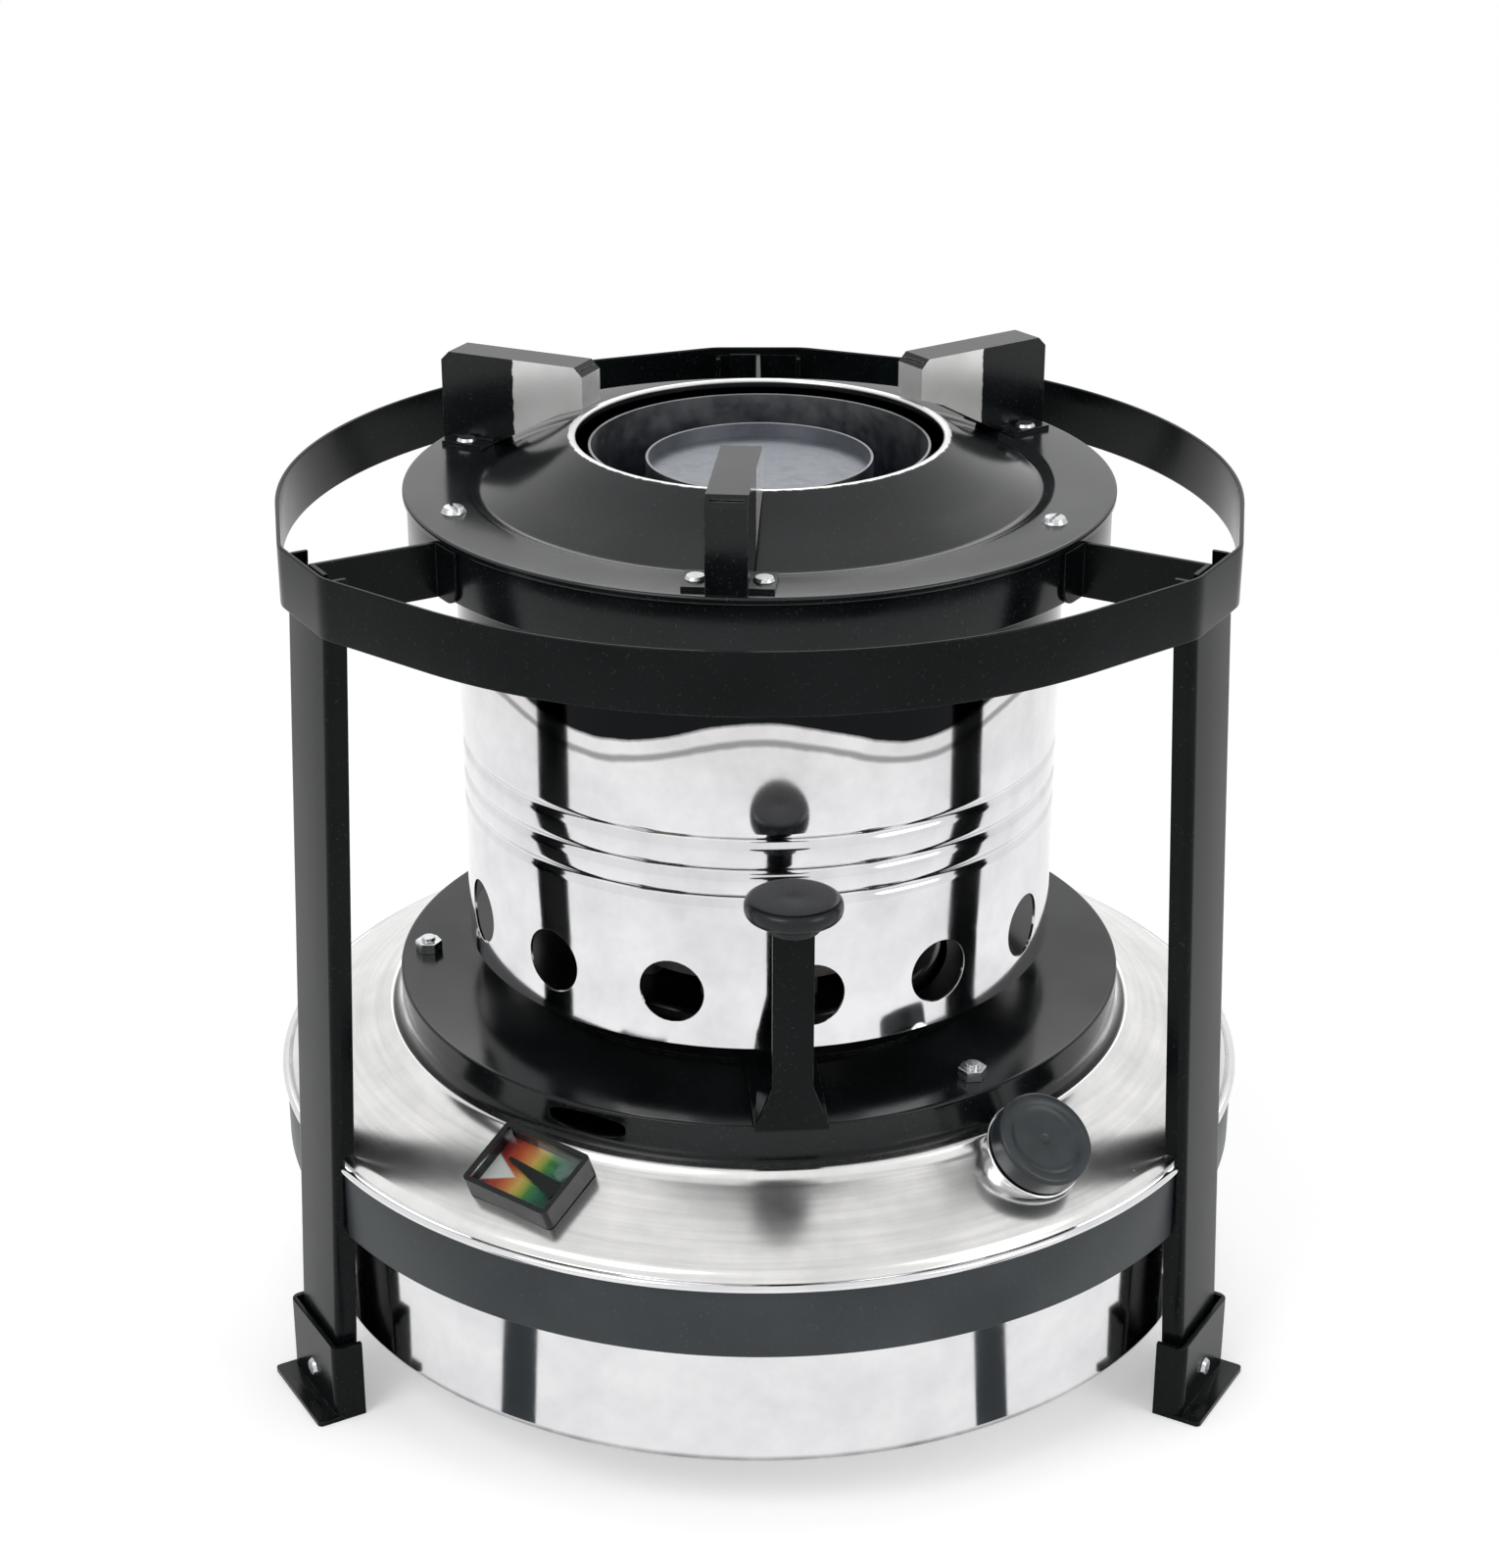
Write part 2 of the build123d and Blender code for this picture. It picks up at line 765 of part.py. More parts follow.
def flame_cylinder(outline, count, reach):
    """A thin cylinder with rows of four-sided perforations, every other row set half a pitch on."""
    with BuildPart() as cylinder:
        add(turned(outline))
        for row, rise in enumerate(perforation_rises):
            for number in range(count):
                azimuth = (number + row % 2 / 2) * 360 / count
                with BuildSketch(radial_plane(azimuth, flame_bottom + rise)):
                    RegularPolygon(perforation_radius, perforation_sides)
                extrude(amount=reach, mode=Mode.SUBTRACT)
        for azimuth in rod_azimuths:
            with BuildSketch(radial_plane(azimuth, rod_height)):
                Circle(rod_radius)
            extrude(amount=reach, mode=Mode.SUBTRACT)
    return cylinder.part


outer_flame_cylinder = flame_cylinder(
    [
        (outer_flame_radius - flame_sheet, flame_bottom),
        (outer_flame_radius, flame_bottom),
        (outer_flame_radius, outer_flame_top),
        (outer_flame_radius - flame_sheet, outer_flame_top),
    ],
    outer_perforations,
    outer_flame_radius + overrun,
)
save("outer_flame_cylinder", outer_flame_cylinder)

inner_cap_height = inner_flame_top - inner_flame_cap_drop
inner_flame_cylinder = flame_cylinder(
    [
        (inner_flame_radius - flame_sheet, flame_bottom),
        (inner_flame_radius, flame_bottom),
        (inner_flame_radius, inner_flame_top),
        (inner_flame_radius - flame_sheet, inner_flame_top),
        (inner_flame_radius - flame_sheet, inner_cap_height),
        (0, inner_cap_height),
        (0, inner_cap_height - flame_sheet),
        (inner_flame_radius - flame_sheet, inner_cap_height - flame_sheet),
    ],
    inner_perforations,
    inner_flame_radius + overrun,
)
save("inner_flame_cylinder", inner_flame_cylinder)

rod_from = inner_flame_radius - flame_sheet - rod_end
rod_to = drum_radius + rod_end

with BuildPart() as cross_rods:
    for azimuth in rod_azimuths:
        with BuildSketch(radial_plane(azimuth, rod_height).offset(rod_from)):
            Circle(rod_radius)
        extrude(amount=rod_to - rod_from)
save("cross_rods", cross_rods.part)

# Burner pan: the black cover on the tank
pan_line = [
    (pan_hole, pan_top),
    (pan_radius - pan_corner, pan_top),
    (pan_radius, pan_top - pan_corner),
    (pan_radius, shelf_height),
]

with BuildPart() as burner_pan:
    add(turned(sheet_outline(pan_line, -pan_sheet)))
    with BuildSketch(radial_plane(pan_slot_azimuth).offset(pan_hole)):
        with Locations((0, (pan_slot_bottom + pan_slot_top) / 2)):
            SlotOverall(pan_slot_width, pan_slot_top - pan_slot_bottom)
    extrude(amount=pan_radius - pan_hole + overrun, mode=Mode.SUBTRACT)
    for azimuth in stud_azimuths:
        with Locations(polar(stud_reach, azimuth, pan_top)):
            Cylinder(stud_radius, overrun, mode=Mode.SUBTRACT)
save("burner_pan", burner_pan.part)

with BuildPart() as pan_stud:
    with BuildSketch(Plane.XY.offset(shelf_height)):
        with Locations((stud_reach, 0)):
            Circle(stud_radius)
    extrude(amount=pan_top + nut_height + stud_end - shelf_height)
    with BuildSketch(Plane.XY.offset(pan_top)):
        with Locations((stud_reach, 0)):
            RegularPolygon(nut_across / 2, nut_sides, major_radius=False)
    extrude(amount=nut_height)
save("pan_studs", Compound(children=[turned_to(azimuth, pan_stud.part) for azimuth in stud_azimuths]))

# Tank shell: floor, foot, wall and the seam folded over the top sheet
shell_line = [
    (0, tank_floor),
    (tank_floor_edge, tank_floor),
    (tank_foot_inner, tank_foot),
    (tank_foot_outer, tank_foot),
    (tank_radius, tank_foot_rise),
    (tank_radius, seam_bottom),
    (seam_radius - seam_bevel, seam_bottom),
    (seam_radius, seam_bottom + seam_bevel),
    (seam_radius, seam_top - seam_bevel),
    (seam_radius - seam_bevel, seam_top),
    (seam_fold, seam_top),
]
tank_shell = turned(sheet_outline(shell_line, tank_sheet))
save("tank_shell", tank_shell)

# Tank top: well, shelf, bead, slope and rim, with the holes for the neck and the gauge shaft
seam_sheet_top = seam_inner_height + tank_sheet
top_line = [
    (well_hole, well_floor),
    (well_radius, well_floor),
    (shelf_inner, shelf_height),
    (shelf_outer, shelf_height),
    (bead_radius, bead_height),
    (slope_top_radius, slope_top_height),
    (slope_foot_radius, slope_foot_height),
    (rim_foot_radius, seam_sheet_top),
    (seam_radius - tank_sheet - loose_gap, seam_sheet_top),
]

with BuildPart() as tank_top:
    add(turned(sheet_outline(top_line, -tank_sheet)))
    with BuildSketch(filler_plane.offset(neck_from)):
        Circle(neck_collar_radius)
    extrude(amount=neck_to - neck_from, mode=Mode.SUBTRACT)
    with BuildSketch(gauge_plane):
        with Locations(pointer_pivot):
            Circle(pointer_shaft_radius + fit_gap)
    extrude(amount=overrun, both=True, mode=Mode.SUBTRACT)
save("tank_top", tank_top.part)

# Wick housing: an upturned cup on the well, with a tube for each wick and three upright guide slots
housing_line = [
    (0, housing_top),
    (housing_radius - housing_bevel, housing_top),
    (housing_radius, housing_top - housing_bevel),
    (housing_radius, well_floor + housing_sheet),
    (housing_flange, well_floor + housing_sheet),
]
guide_slot_width = 2 * (pin_radius + loose_gap)

with BuildPart() as wick_housing:
    add(turned(sheet_outline(housing_line, -housing_sheet)))
    with BuildSketch(Plane.XY.offset(housing_top)):
        with PolarLocations(wick_circle, wick_count):
            Circle(tube_radius)
    extrude(amount=overrun, both=True, mode=Mode.SUBTRACT)
    for azimuth in pin_azimuths:
        with BuildSketch(radial_plane(azimuth).offset(housing_radius - overrun)):
            with Locations((0, (guide_slot_bottom + guide_slot_top) / 2)):
                SlotOverall(guide_slot_top - guide_slot_bottom, guide_slot_width, rotation=90)
        extrude(amount=2 * overrun, mode=Mode.SUBTRACT)
save("wick_housing", wick_housing.part)

with BuildPart() as wick_tubes:
    with BuildSketch(Plane.XY.offset(tube_bottom)):
        with PolarLocations(wick_circle, wick_count):
            Circle(tube_radius)
            Circle(tube_bore, mode=Mode.SUBTRACT)
    extrude(amount=tube_top - tube_bottom)
save("wick_tubes", wick_tubes.part)

# Carrier that grips the wicks, with three pins through the guide slots
with BuildPart() as wick_carrier:
    with BuildSketch(Plane.XY.offset(carrier_height - carrier_sheet / 2)):
        Circle(carrier_radius)
        Circle(carrier_hole, mode=Mode.SUBTRACT)
        with PolarLocations(wick_circle, wick_count):
            Circle(wick_radius, mode=Mode.SUBTRACT)
    extrude(amount=carrier_sheet)
    for azimuth in pin_azimuths:
        with BuildSketch(radial_plane(azimuth, carrier_height).offset(carrier_radius - 2 * pin_radius)):
            Circle(pin_radius)
        extrude(amount=pin_reach - carrier_radius + 2 * pin_radius)
save("wick_carrier", wick_carrier.part)

with BuildPart() as wicks:
    with BuildSketch(Plane.XY.offset(wick_bottom)):
        with PolarLocations(wick_circle, wick_count):
            Circle(wick_radius)
    extrude(amount=wick_top - wick_bottom)
save("wicks", wicks.part)

# Lever ring: a collar round the housing whose rising slots lift the pins as it turns
lever_ring_bottom_face = pan_top + fit_gap
lever_ring_top = lever_ring_bottom_face + lever_ring_sheet
lever_ring_middle = (lever_ring_inner + lever_ring_outer) / 2
slot_half = pin_radius + slot_gap


def rising_slot():
    """Outline of a rising slot, flattened onto the plane that touches the ring: along is the radius times
    the sine of the turn, up is the rise per degree, and the sides stand half a width off the path."""
    rise_angle = atan2(rise_per_degree, lever_ring_middle * radians(1))
    across = slot_half / cos(rise_angle)
    first = lever_back + slot_half
    last = -lever_forward - slot_half
    turns = [first + (last - first) * step / slot_steps for step in range(slot_steps + 1)]
    upper = []
    lower = []
    for turn in turns:
        along = lever_ring_middle * sin(radians(turn))
        height = carrier_height - rise_per_degree * turn
        upper.append((along, height + across))
        lower.append((along, height - across))
    return upper + lower[::-1]


with BuildPart() as lever_ring:
    add(
        turned(
            [
                (lever_ring_inner, lever_ring_bottom),
                (lever_ring_outer, lever_ring_bottom),
                (lever_ring_outer, lever_ring_bottom_face),
                (lever_ring_flange, lever_ring_bottom_face),
                (lever_ring_flange, lever_ring_top),
                (lever_ring_inner, lever_ring_top),
            ]
        )
    )
    for azimuth in pin_azimuths:
        with BuildSketch(radial_plane(azimuth).offset(lever_ring_inner / 2)):
            with BuildLine():
                Polyline(*rising_slot(), close=True)
            make_face()
        extrude(amount=lever_ring_inner, mode=Mode.SUBTRACT)
    for way in (-1, 1):
        rivet_place = Pos(lever_rivet_from, way * lever_rivet_spread, lever_ring_top)
        with Locations(turned_to(lever_azimuth, rivet_place)):
            Cylinder(rivet_radius, overrun, mode=Mode.SUBTRACT)
save("lever_ring", lever_ring.part)

# Wick lever: a strip from the ring over the pan's edge, turned up into the stem
lever_top_face = lever_ring_top + lever_sheet
flare_half = lever_arm_width / 2
stem_half = stem_width / 2

with BuildPart() as lever_strip:
    with BuildSketch(Plane.XY.offset(lever_ring_top)):
        with Locations((lever_from, 0)):
            Rectangle(lever_reach - lever_from, lever_arm_width, align=(Align.MIN, Align.CENTER))
        for way in (-1, 1):
            with Locations((lever_rivet_from, way * lever_rivet_spread)):
                Circle(rivet_radius, mode=Mode.SUBTRACT)
    extrude(amount=lever_sheet)
    with BuildSketch(radial_plane(0).offset(lever_reach - lever_sheet)):
        with BuildLine():
            Polyline(
                (-flare_half, lever_ring_top),
                (flare_half, lever_ring_top),
                (flare_half, lever_top_face),
                (stem_half, lever_flare_top),
                (stem_half, stem_top - lever_sheet),
                (stem_half - lever_sheet, stem_top),
                (lever_sheet - stem_half, stem_top),
                (-stem_half, stem_top - lever_sheet),
                (-stem_half, lever_flare_top),
                (-flare_half, lever_top_face),
                close=True,
            )
        make_face()
    extrude(amount=lever_sheet)
    outer_bend = lever_strip.edges().filter_by(Axis.Y).group_by(Axis.Z)[0].sort_by(Axis.X)[-1]
    fillet(outer_bend, lever_sheet)
save("wick_lever", turned_to(lever_azimuth, lever_strip.part))

with BuildPart() as lever_rivets:
    for way in (-1, 1):
        with BuildSketch(Plane.XY.offset(lever_ring_bottom_face)):
            with Locations((lever_rivet_from, way * lever_rivet_spread)):
                Circle(rivet_radius)
        extrude(amount=lever_top_face - lever_ring_bottom_face)
        with BuildSketch(Plane.XY.offset(lever_top_face)):
            with Locations((lever_rivet_from, way * lever_rivet_spread)):
                Circle(rivet_radius + rivet_head)
        extrude(amount=rivet_head, taper=head_taper)
save("lever_rivets", turned_to(lever_azimuth, lever_rivets.part))

stem_middle = lever_reach - lever_sheet / 2

with BuildPart() as lever_knob:
    with BuildSketch(Plane.XY.offset(knob_bottom)):
        with Locations((stem_middle, 0)):
            Circle(knob_radius)
    extrude(amount=knob_top - knob_bottom)
    fillet(lever_knob.edges().filter_by(GeomType.CIRCLE), knob_edge)
    with BuildSketch(Plane.XY.offset(knob_boss_bottom)):
        with Locations((stem_middle, 0)):
            Circle(knob_boss_radius)
    extrude(amount=knob_bottom - knob_boss_bottom)
    with BuildSketch(Plane.XY.offset(knob_boss_bottom)):
        with Locations((stem_middle, 0)):
            Rectangle(lever_sheet, stem_width)
    extrude(amount=stem_top - knob_boss_bottom, mode=Mode.SUBTRACT)
save("lever_knob", turned_to(lever_azimuth, lever_knob.part))

# Filler neck, gasket and cap
gasket_from = neck_flange_from + neck_flange_sheet
cap_from = gasket_from + gasket_sheet
filler_axis = Axis(filler_plane.origin, filler_plane.z_dir)

with BuildPart() as filler_neck:
    with BuildSketch(filler_plane.offset(neck_from)):
        Circle(neck_radius)
    extrude(amount=neck_to - neck_from)
    with BuildSketch(filler_plane.offset(neck_from)):
        Circle(neck_collar_radius)
    extrude(amount=neck_flange_from - neck_from)
    with BuildSketch(filler_plane.offset(neck_flange_from)):
        Circle(neck_flange_radius)
    extrude(amount=neck_flange_sheet)
    with BuildSketch(filler_plane.offset(neck_from)):
        Circle(neck_radius - neck_sheet)
    extrude(amount=neck_to - neck_from, mode=Mode.SUBTRACT)
save("filler_neck", filler_neck.part)

with BuildPart() as cap_gasket:
    with BuildSketch(filler_plane.offset(gasket_from)):
        Circle(gasket_radius)
        Circle(neck_radius + loose_gap, mode=Mode.SUBTRACT)
    extrude(amount=gasket_sheet)
save("cap_gasket", cap_gasket.part)

with BuildPart() as filler_cap:
    with BuildSketch(filler_plane.offset(cap_from)):
        Circle(cap_radius)
    extrude(amount=cap_to - cap_from)
    fillet(filler_cap.edges().filter_by(GeomType.CIRCLE).sort_by(filler_axis)[-1], cap_edge)
    with BuildSketch(filler_plane.offset(cap_to)):
        Circle(cap_dish_radius)
    extrude(amount=-cap_dish_depth, mode=Mode.SUBTRACT)
    with BuildSketch(filler_plane.offset(cap_to - cap_dish_depth)):
        Circle(cap_dot_radius)
    extrude(amount=-cap_dot_depth, mode=Mode.SUBTRACT)
    with BuildSketch(filler_plane.offset(cap_from)):
        Circle(neck_radius + loose_gap)
    extrude(amount=cap_roof - cap_from, mode=Mode.SUBTRACT)
save("filler_cap", filler_cap.part)

# Fuel gauge: tray, dial and window
pocket_length = gauge_length - 2 * gauge_wall
pocket_width = gauge_width - 2 * gauge_wall
window_from = gauge_height - window_drop - window_sheet

with BuildPart() as gauge_housing:
    with BuildSketch(gauge_plane):
        RectangleRounded(gauge_length, gauge_width, gauge_corner)
    extrude(amount=gauge_height)
    with BuildSketch(gauge_plane.offset(gauge_bottom)):
        Rectangle(pocket_length, pocket_width)
    extrude(amount=gauge_height, mode=Mode.SUBTRACT)
    with BuildSketch(gauge_plane):
        with Locations(pointer_pivot):
            Circle(pointer_shaft_radius + fit_gap)
    extrude(amount=gauge_bottom, mode=Mode.SUBTRACT)
save("gauge_housing", gauge_housing.part)

with BuildPart() as gauge_dial:
    with BuildSketch(gauge_plane.offset(gauge_bottom)):
        Rectangle(pocket_length, pocket_width)
        with Locations(pointer_pivot):
            Circle(pointer_shaft_radius + fit_gap, mode=Mode.SUBTRACT)
    extrude(amount=dial_sheet)
save("gauge_dial", gauge_dial.part)

with BuildPart() as gauge_window:
    with BuildSketch(gauge_plane.offset(window_from)):
        Rectangle(pocket_length, pocket_width)
    extrude(amount=window_sheet)
save("gauge_window", gauge_window.part)

# Pointer with its shaft and bevel wheel
with BuildPart() as gauge_pointer:
    with BuildSketch(gauge_plane.offset(pointer_lift)):
        with BuildLine(Location(pointer_pivot, pointer_rest)):
            Polyline(
                (-pointer_tail, -pointer_tail),
                (pointer_length, -pointer_tip),
                (pointer_length, pointer_tip),
                (-pointer_tail, pointer_tail),
                close=True,
            )
        make_face()
    extrude(amount=pointer_sheet)
    with BuildSketch(gauge_plane.offset(bevel_near - bevel_depth)):
        with Locations(pointer_pivot):
            Circle(pointer_shaft_radius)
    extrude(amount=pointer_lift + pointer_sheet + bevel_depth - bevel_near)
    with BuildSketch(gauge_plane.offset(bevel_far - bevel_depth)):
        with Locations(pointer_pivot):
            Circle(bevel_far - fit_gap)
    extrude(amount=bevel_near - bevel_far, taper=bevel_taper)
save("gauge_pointer", gauge_pointer.part)

# Float arm: axle, bevel wheel, rod and float
bevel_point = gauge_plane.from_local_coords(Vector(*pointer_pivot, -bevel_depth))
tangent = slope_plane.x_dir
inwards = Vector(-cos(radians(gauge_azimuth)), -sin(radians(gauge_azimuth)), 0)
arm_way = inwards * cos(radians(float_arm_drop)) - Vector(0, 0, 1) * sin(radians(float_arm_drop))
axle_plane = Plane(origin=bevel_point, x_dir=arm_way, z_dir=-tangent)
rod_plane = Plane(origin=bevel_point - tangent * float_arm_at, x_dir=tangent, z_dir=arm_way)

with BuildPart() as float_arm:
    with BuildSketch(axle_plane.offset(bevel_near)):
        Circle(axle_radius)
    extrude(amount=axle_out - bevel_near)
    with BuildSketch(axle_plane.offset(bevel_far)):
        Circle(bevel_far - fit_gap)
    extrude(amount=bevel_near - bevel_far, taper=bevel_taper)
    with BuildSketch(rod_plane):
        Circle(float_arm_radius)
    extrude(amount=float_arm_length - float_radius)
save("float_arm", float_arm.part)

with BuildPart() as tank_float:
    with BuildSketch(axle_plane.offset(float_arm_at)):
        with Locations((float_arm_length, 0)):
            Circle(float_radius)
    extrude(amount=float_length / 2, both=True)
save("tank_float", tank_float.part)

# Bracket that hangs from the tank top and carries the axle
bracket_plane = Plane(origin=bevel_point, x_dir=slope_plane.y_dir, z_dir=-tangent).offset(bracket_from)
bracket_rise = bevel_depth - tank_sheet - fit_gap + bracket_half

with BuildPart() as gauge_bracket:
    with BuildSketch(bracket_plane):
        with Locations((0, bracket_half)):
            Rectangle(2 * bracket_half, bracket_rise, align=(Align.CENTER, Align.MAX))
        Circle(axle_radius + fit_gap, mode=Mode.SUBTRACT)
    extrude(amount=bracket_sheet)
save("gauge_bracket", gauge_bracket.part)
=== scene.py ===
import math
from functools import partial

import bmesh
import bpy
import numpy as np
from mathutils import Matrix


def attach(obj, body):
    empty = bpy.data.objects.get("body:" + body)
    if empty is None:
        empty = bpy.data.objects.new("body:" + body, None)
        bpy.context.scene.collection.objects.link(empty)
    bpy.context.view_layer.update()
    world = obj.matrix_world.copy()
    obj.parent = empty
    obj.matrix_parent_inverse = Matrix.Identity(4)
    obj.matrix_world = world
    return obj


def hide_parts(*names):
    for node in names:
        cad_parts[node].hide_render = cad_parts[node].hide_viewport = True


# Kerosene wick stove. Sizes are in millimetres and become metres when a mesh is made.
# Azimuths are in degrees from +X about the stove's own axis; the side that faces the user is at 270.

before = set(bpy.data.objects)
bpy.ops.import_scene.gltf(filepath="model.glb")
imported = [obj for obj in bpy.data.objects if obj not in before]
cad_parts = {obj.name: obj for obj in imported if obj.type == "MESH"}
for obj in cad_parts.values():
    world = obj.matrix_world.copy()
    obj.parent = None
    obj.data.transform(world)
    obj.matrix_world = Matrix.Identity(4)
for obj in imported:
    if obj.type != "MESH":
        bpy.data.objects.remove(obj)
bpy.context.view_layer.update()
mm = 0.001


# Colours and nodes, with the settings that many of them share; a Mix node's two colours are sockets 6 and 7

times = {"operation": "MULTIPLY"}
timesPlus = {"operation": "MULTIPLY_ADD"}
rgba = {"data_type": "RGBA", "output": 2}


def toLinear(hexColour):
    # sRGB to linear light: a straight part near black, a power curve above it
    channels = np.array([int(hexColour[i:i + 2], 16) for i in (1, 3, 5)]) / 255
    linear = np.where(channels <= 0.04045, channels / 12.92, ((channels + 0.055) / 1.055) ** 2.4)
    return (*linear.tolist(), 1.0)


def addNode(tree, kind, sockets=(), output=0, **settings):
    # adds a node with its settings; its sockets, in order or by name, take a number, a hex colour or another
    # node's output, and one of its own outputs comes back
    node = tree.nodes.new("ShaderNode" + kind)
    for name, value in settings.items():
        setattr(node, name, value)
    for name, value in sockets.items() if isinstance(sockets, dict) else enumerate(sockets):
        if isinstance(value, bpy.types.NodeSocket):
            tree.links.new(value, node.inputs[name])
        else:
            node.inputs[name].default_value = toLinear(value) if isinstance(value, str) else value
    return node if output is None else node.outputs[output]


def startFinish(name):
    # an empty material, what adds nodes to it, and the place on the piece, which is its place on the stove
    material = bpy.data.materials.new(name)
    material.use_nodes = True
    material.node_tree.nodes.clear()
    add = partial(addNode, material.node_tree)
    return material, add, add("TexCoord", output="Object")


def endFinish(material, add, sockets):
    # one Principled shader on the material's output
    add("OutputMaterial", {"Surface": add("BsdfPrincipled", sockets)}, None)
    return material


def fillRamp(ramp, bands):
    # puts each band's colour at its share of the ramp's length
    stops = ramp.node.color_ramp.elements
    for number, (at, hexColour) in enumerate(bands):
        stop = stops[number] if number < 2 else stops.new(at)
        stop.position = at
        stop.color = toLinear(hexColour)


def wornAndHighlitEdges(add, place, colour, setting):
    # a colour rubbed through to the worn one along sharp edges, broken up by a 3 mm noise; the paler edges
    # are wear and also a painted highlight, thin lines of light along the edges
    rounded = add("Bevel", {"Radius": setting["edge"] * mm}, samples=4)
    plain = add("NewGeometry", output="Normal")
    across = add("VectorMath", (rounded, plain), "Value", operation="DOT_PRODUCT")
    patches = add("TexNoise", {"Vector": place, "Scale": 1 / (3.0 * mm), "Detail": 4.0})
    patchy = add("MapRange", (patches, 0.42, 0.60))
    edge = add("Math", (add("MapRange", (across, 0.97, 0.80)), patchy), **times)
    share = add("Math", (edge, setting["edgeWearAndHighlight"]), **times)
    return add("Mix", {0: share, 6: colour, 7: setting["wornAndHighlightColour"]}, **rgba)


def flatPlace(add, place):
    # a place in its three parts, and the same place brought down to the floor
    parts = add("SeparateXYZ", (place,)).node.outputs
    return parts, add("CombineXYZ", (parts[0], parts[1]))


def spunPlace(add, parts, flat, pitch):
    # coordinates for the tool's lines: (reach + height) / pitch across them, and slow round the axis along
    # them; real lines are finer than a tenth of a millimetre and are drawn as coarse as they need to show
    reach = add("VectorMath", (flat,), "Value", operation="LENGTH")
    along = add("SeparateXYZ", (add("VectorMath", (flat,), operation="NORMALIZE"),)).node.outputs
    across = add("Math", (add("Math", (reach, parts[2])), 1 / (pitch * mm)), **times)
    slow = [add("Math", (along[i], 2.5), **times) for i in (0, 1)]
    return add("CombineXYZ", (across, *slow))


# Enamel

def bareAndHighlightShare(add, place, peel, setting):
    # 1 on bare steel, which on the plate's lip is a painted highlight: nearer the axis than a reach and above
    # a height, with a ragged border, and on some pieces only where the surface stands upright
    parts, flat = flatPlace(add, place)
    within, above = setting["bareAndHighlightWithin"] * mm, setting["bareAndHighlightAbove"] * mm
    reach = add("VectorMath", (flat,), "Value", operation="LENGTH")
    ragged = add("Math", (peel, setting["bareAndHighlightRagged"] * mm, reach), **timesPlus)
    near = add("MapRange", (ragged, within, within + setting["bareAndHighlightBlend"] * mm, 1.0, 0.0))
    high = add("MapRange", (parts[2], above, above + setting["bareAndHighlightRise"] * mm))
    bareAndHighlight = add("Math", (near, high), **times)
    if setting["flanksOnly"]:
        facing = add("SeparateXYZ", (add("NewGeometry", output="Normal"),), 2)
        upright = add("MapRange", (add("Math", (facing,), operation="ABSOLUTE"), 0.35, 0.60, 1.0, 0.0))
        bareAndHighlight = add("Math", (bareAndHighlight, upright), **times)
    return bareAndHighlight


def enamelFinish(name, setting):
    # vitreous enamel or stoved paint on steel sheet: an orange peel that ripples the gloss, cloudy tones,
    # dust that greys it, edges rubbed down to dull steel that also serve as a painted highlight, and bare
    # steel where the flame burnt it off, which on the plate's lip is a painted highlight instead
    material, add, place = startFinish(name)
    peel = add("TexNoise", {"Vector": place, "Scale": 1 / (setting["peel"] * mm), "Detail": 3.0})
    cloud = add("TexNoise", {"Vector": place, "Scale": 1 / (setting["cloud"] * mm), "Detail": 3.0})
    grit = add("TexNoise", {"Vector": place, "Scale": 1 / (setting["grit"] * mm)})
    cloudy = add("MapRange", (cloud, 0.35, 0.65))
    dusty = add("MapRange", (grit, 0.64, 0.74, 0.0, setting["dust"]))
    colour = add("Mix", {0: cloudy, 6: setting["dark"], 7: setting["light"]}, **rgba)
    colour = add("Mix", {0: dusty, 6: colour, 7: setting["dustColour"]}, **rgba)
    # paler edges: wear, and also a painted highlight along them
    colour = wornAndHighlitEdges(add, place, colour, setting)
    rough = add("MapRange", (cloud, 0.3, 0.7, *setting["roughness"]))
    rough = add("Math", (grit, 0.05, rough), **timesPlus)
    metallic = 0.0
    # bare steel where the flame burnt the enamel off, and on the plate's lip a painted highlight drawn as
    # steel
    if "bareAndHighlightWithin" in setting:
        bareAndHighlight = bareAndHighlightShare(add, place, peel, setting)
        bareAndHighlightColour = add("Mix", {0: cloudy, 6: setting["bareAndHighlightBright"], 7: setting["bareAndHighlightDull"]}, **rgba)
        colour = add("Mix", {0: bareAndHighlight, 6: colour, 7: bareAndHighlightColour}, **rgba)
        rough = add("Math", (bareAndHighlight, 0.04, rough), **timesPlus)
        metallic = add("Math", (bareAndHighlight, setting["bareAndHighlightMetallic"]), **times)
    return endFinish(material, add, {
        "Base Color": colour, "Metallic": metallic, "Roughness": rough,
        "IOR": setting["ior"], "Specular IOR Level": setting["specular"],
        "Normal": add("Bump", {"Height": peel, "Distance": setting["peelDepth"] * mm})})


enamel = {
    "dark": "#0a0d0e", "light": "#111517", "ior": 1.5, "specular": 0.28, "roughness": (0.12, 0.20),
    "cloud": 26.0, "peel": 2.4, "peelDepth": 0.012, "edge": 0.5, "edgeWearAndHighlight": 0.55, "wornAndHighlightColour": "#5d5c59",
    "grit": 0.9, "dust": 0.16, "dustColour": "#6b6f70",
}
# bare steel settings: real bare steel on the supports, and on the plate's lip a painted highlight drawn as
# bare steel
bareAndHighlightEnamel = {
    **enamel, "bareAndHighlightBright": "#ffffff", "bareAndHighlightDull": "#e6e5e3", "bareAndHighlightMetallic": 0.55, "bareAndHighlightRagged": 1.2,
    "bareAndHighlightBlend": 0.4, "bareAndHighlightRise": 0.5, "flanksOnly": False,
}
glossEnamel = enamelFinish("gloss vitreous enamel, black", enamel)
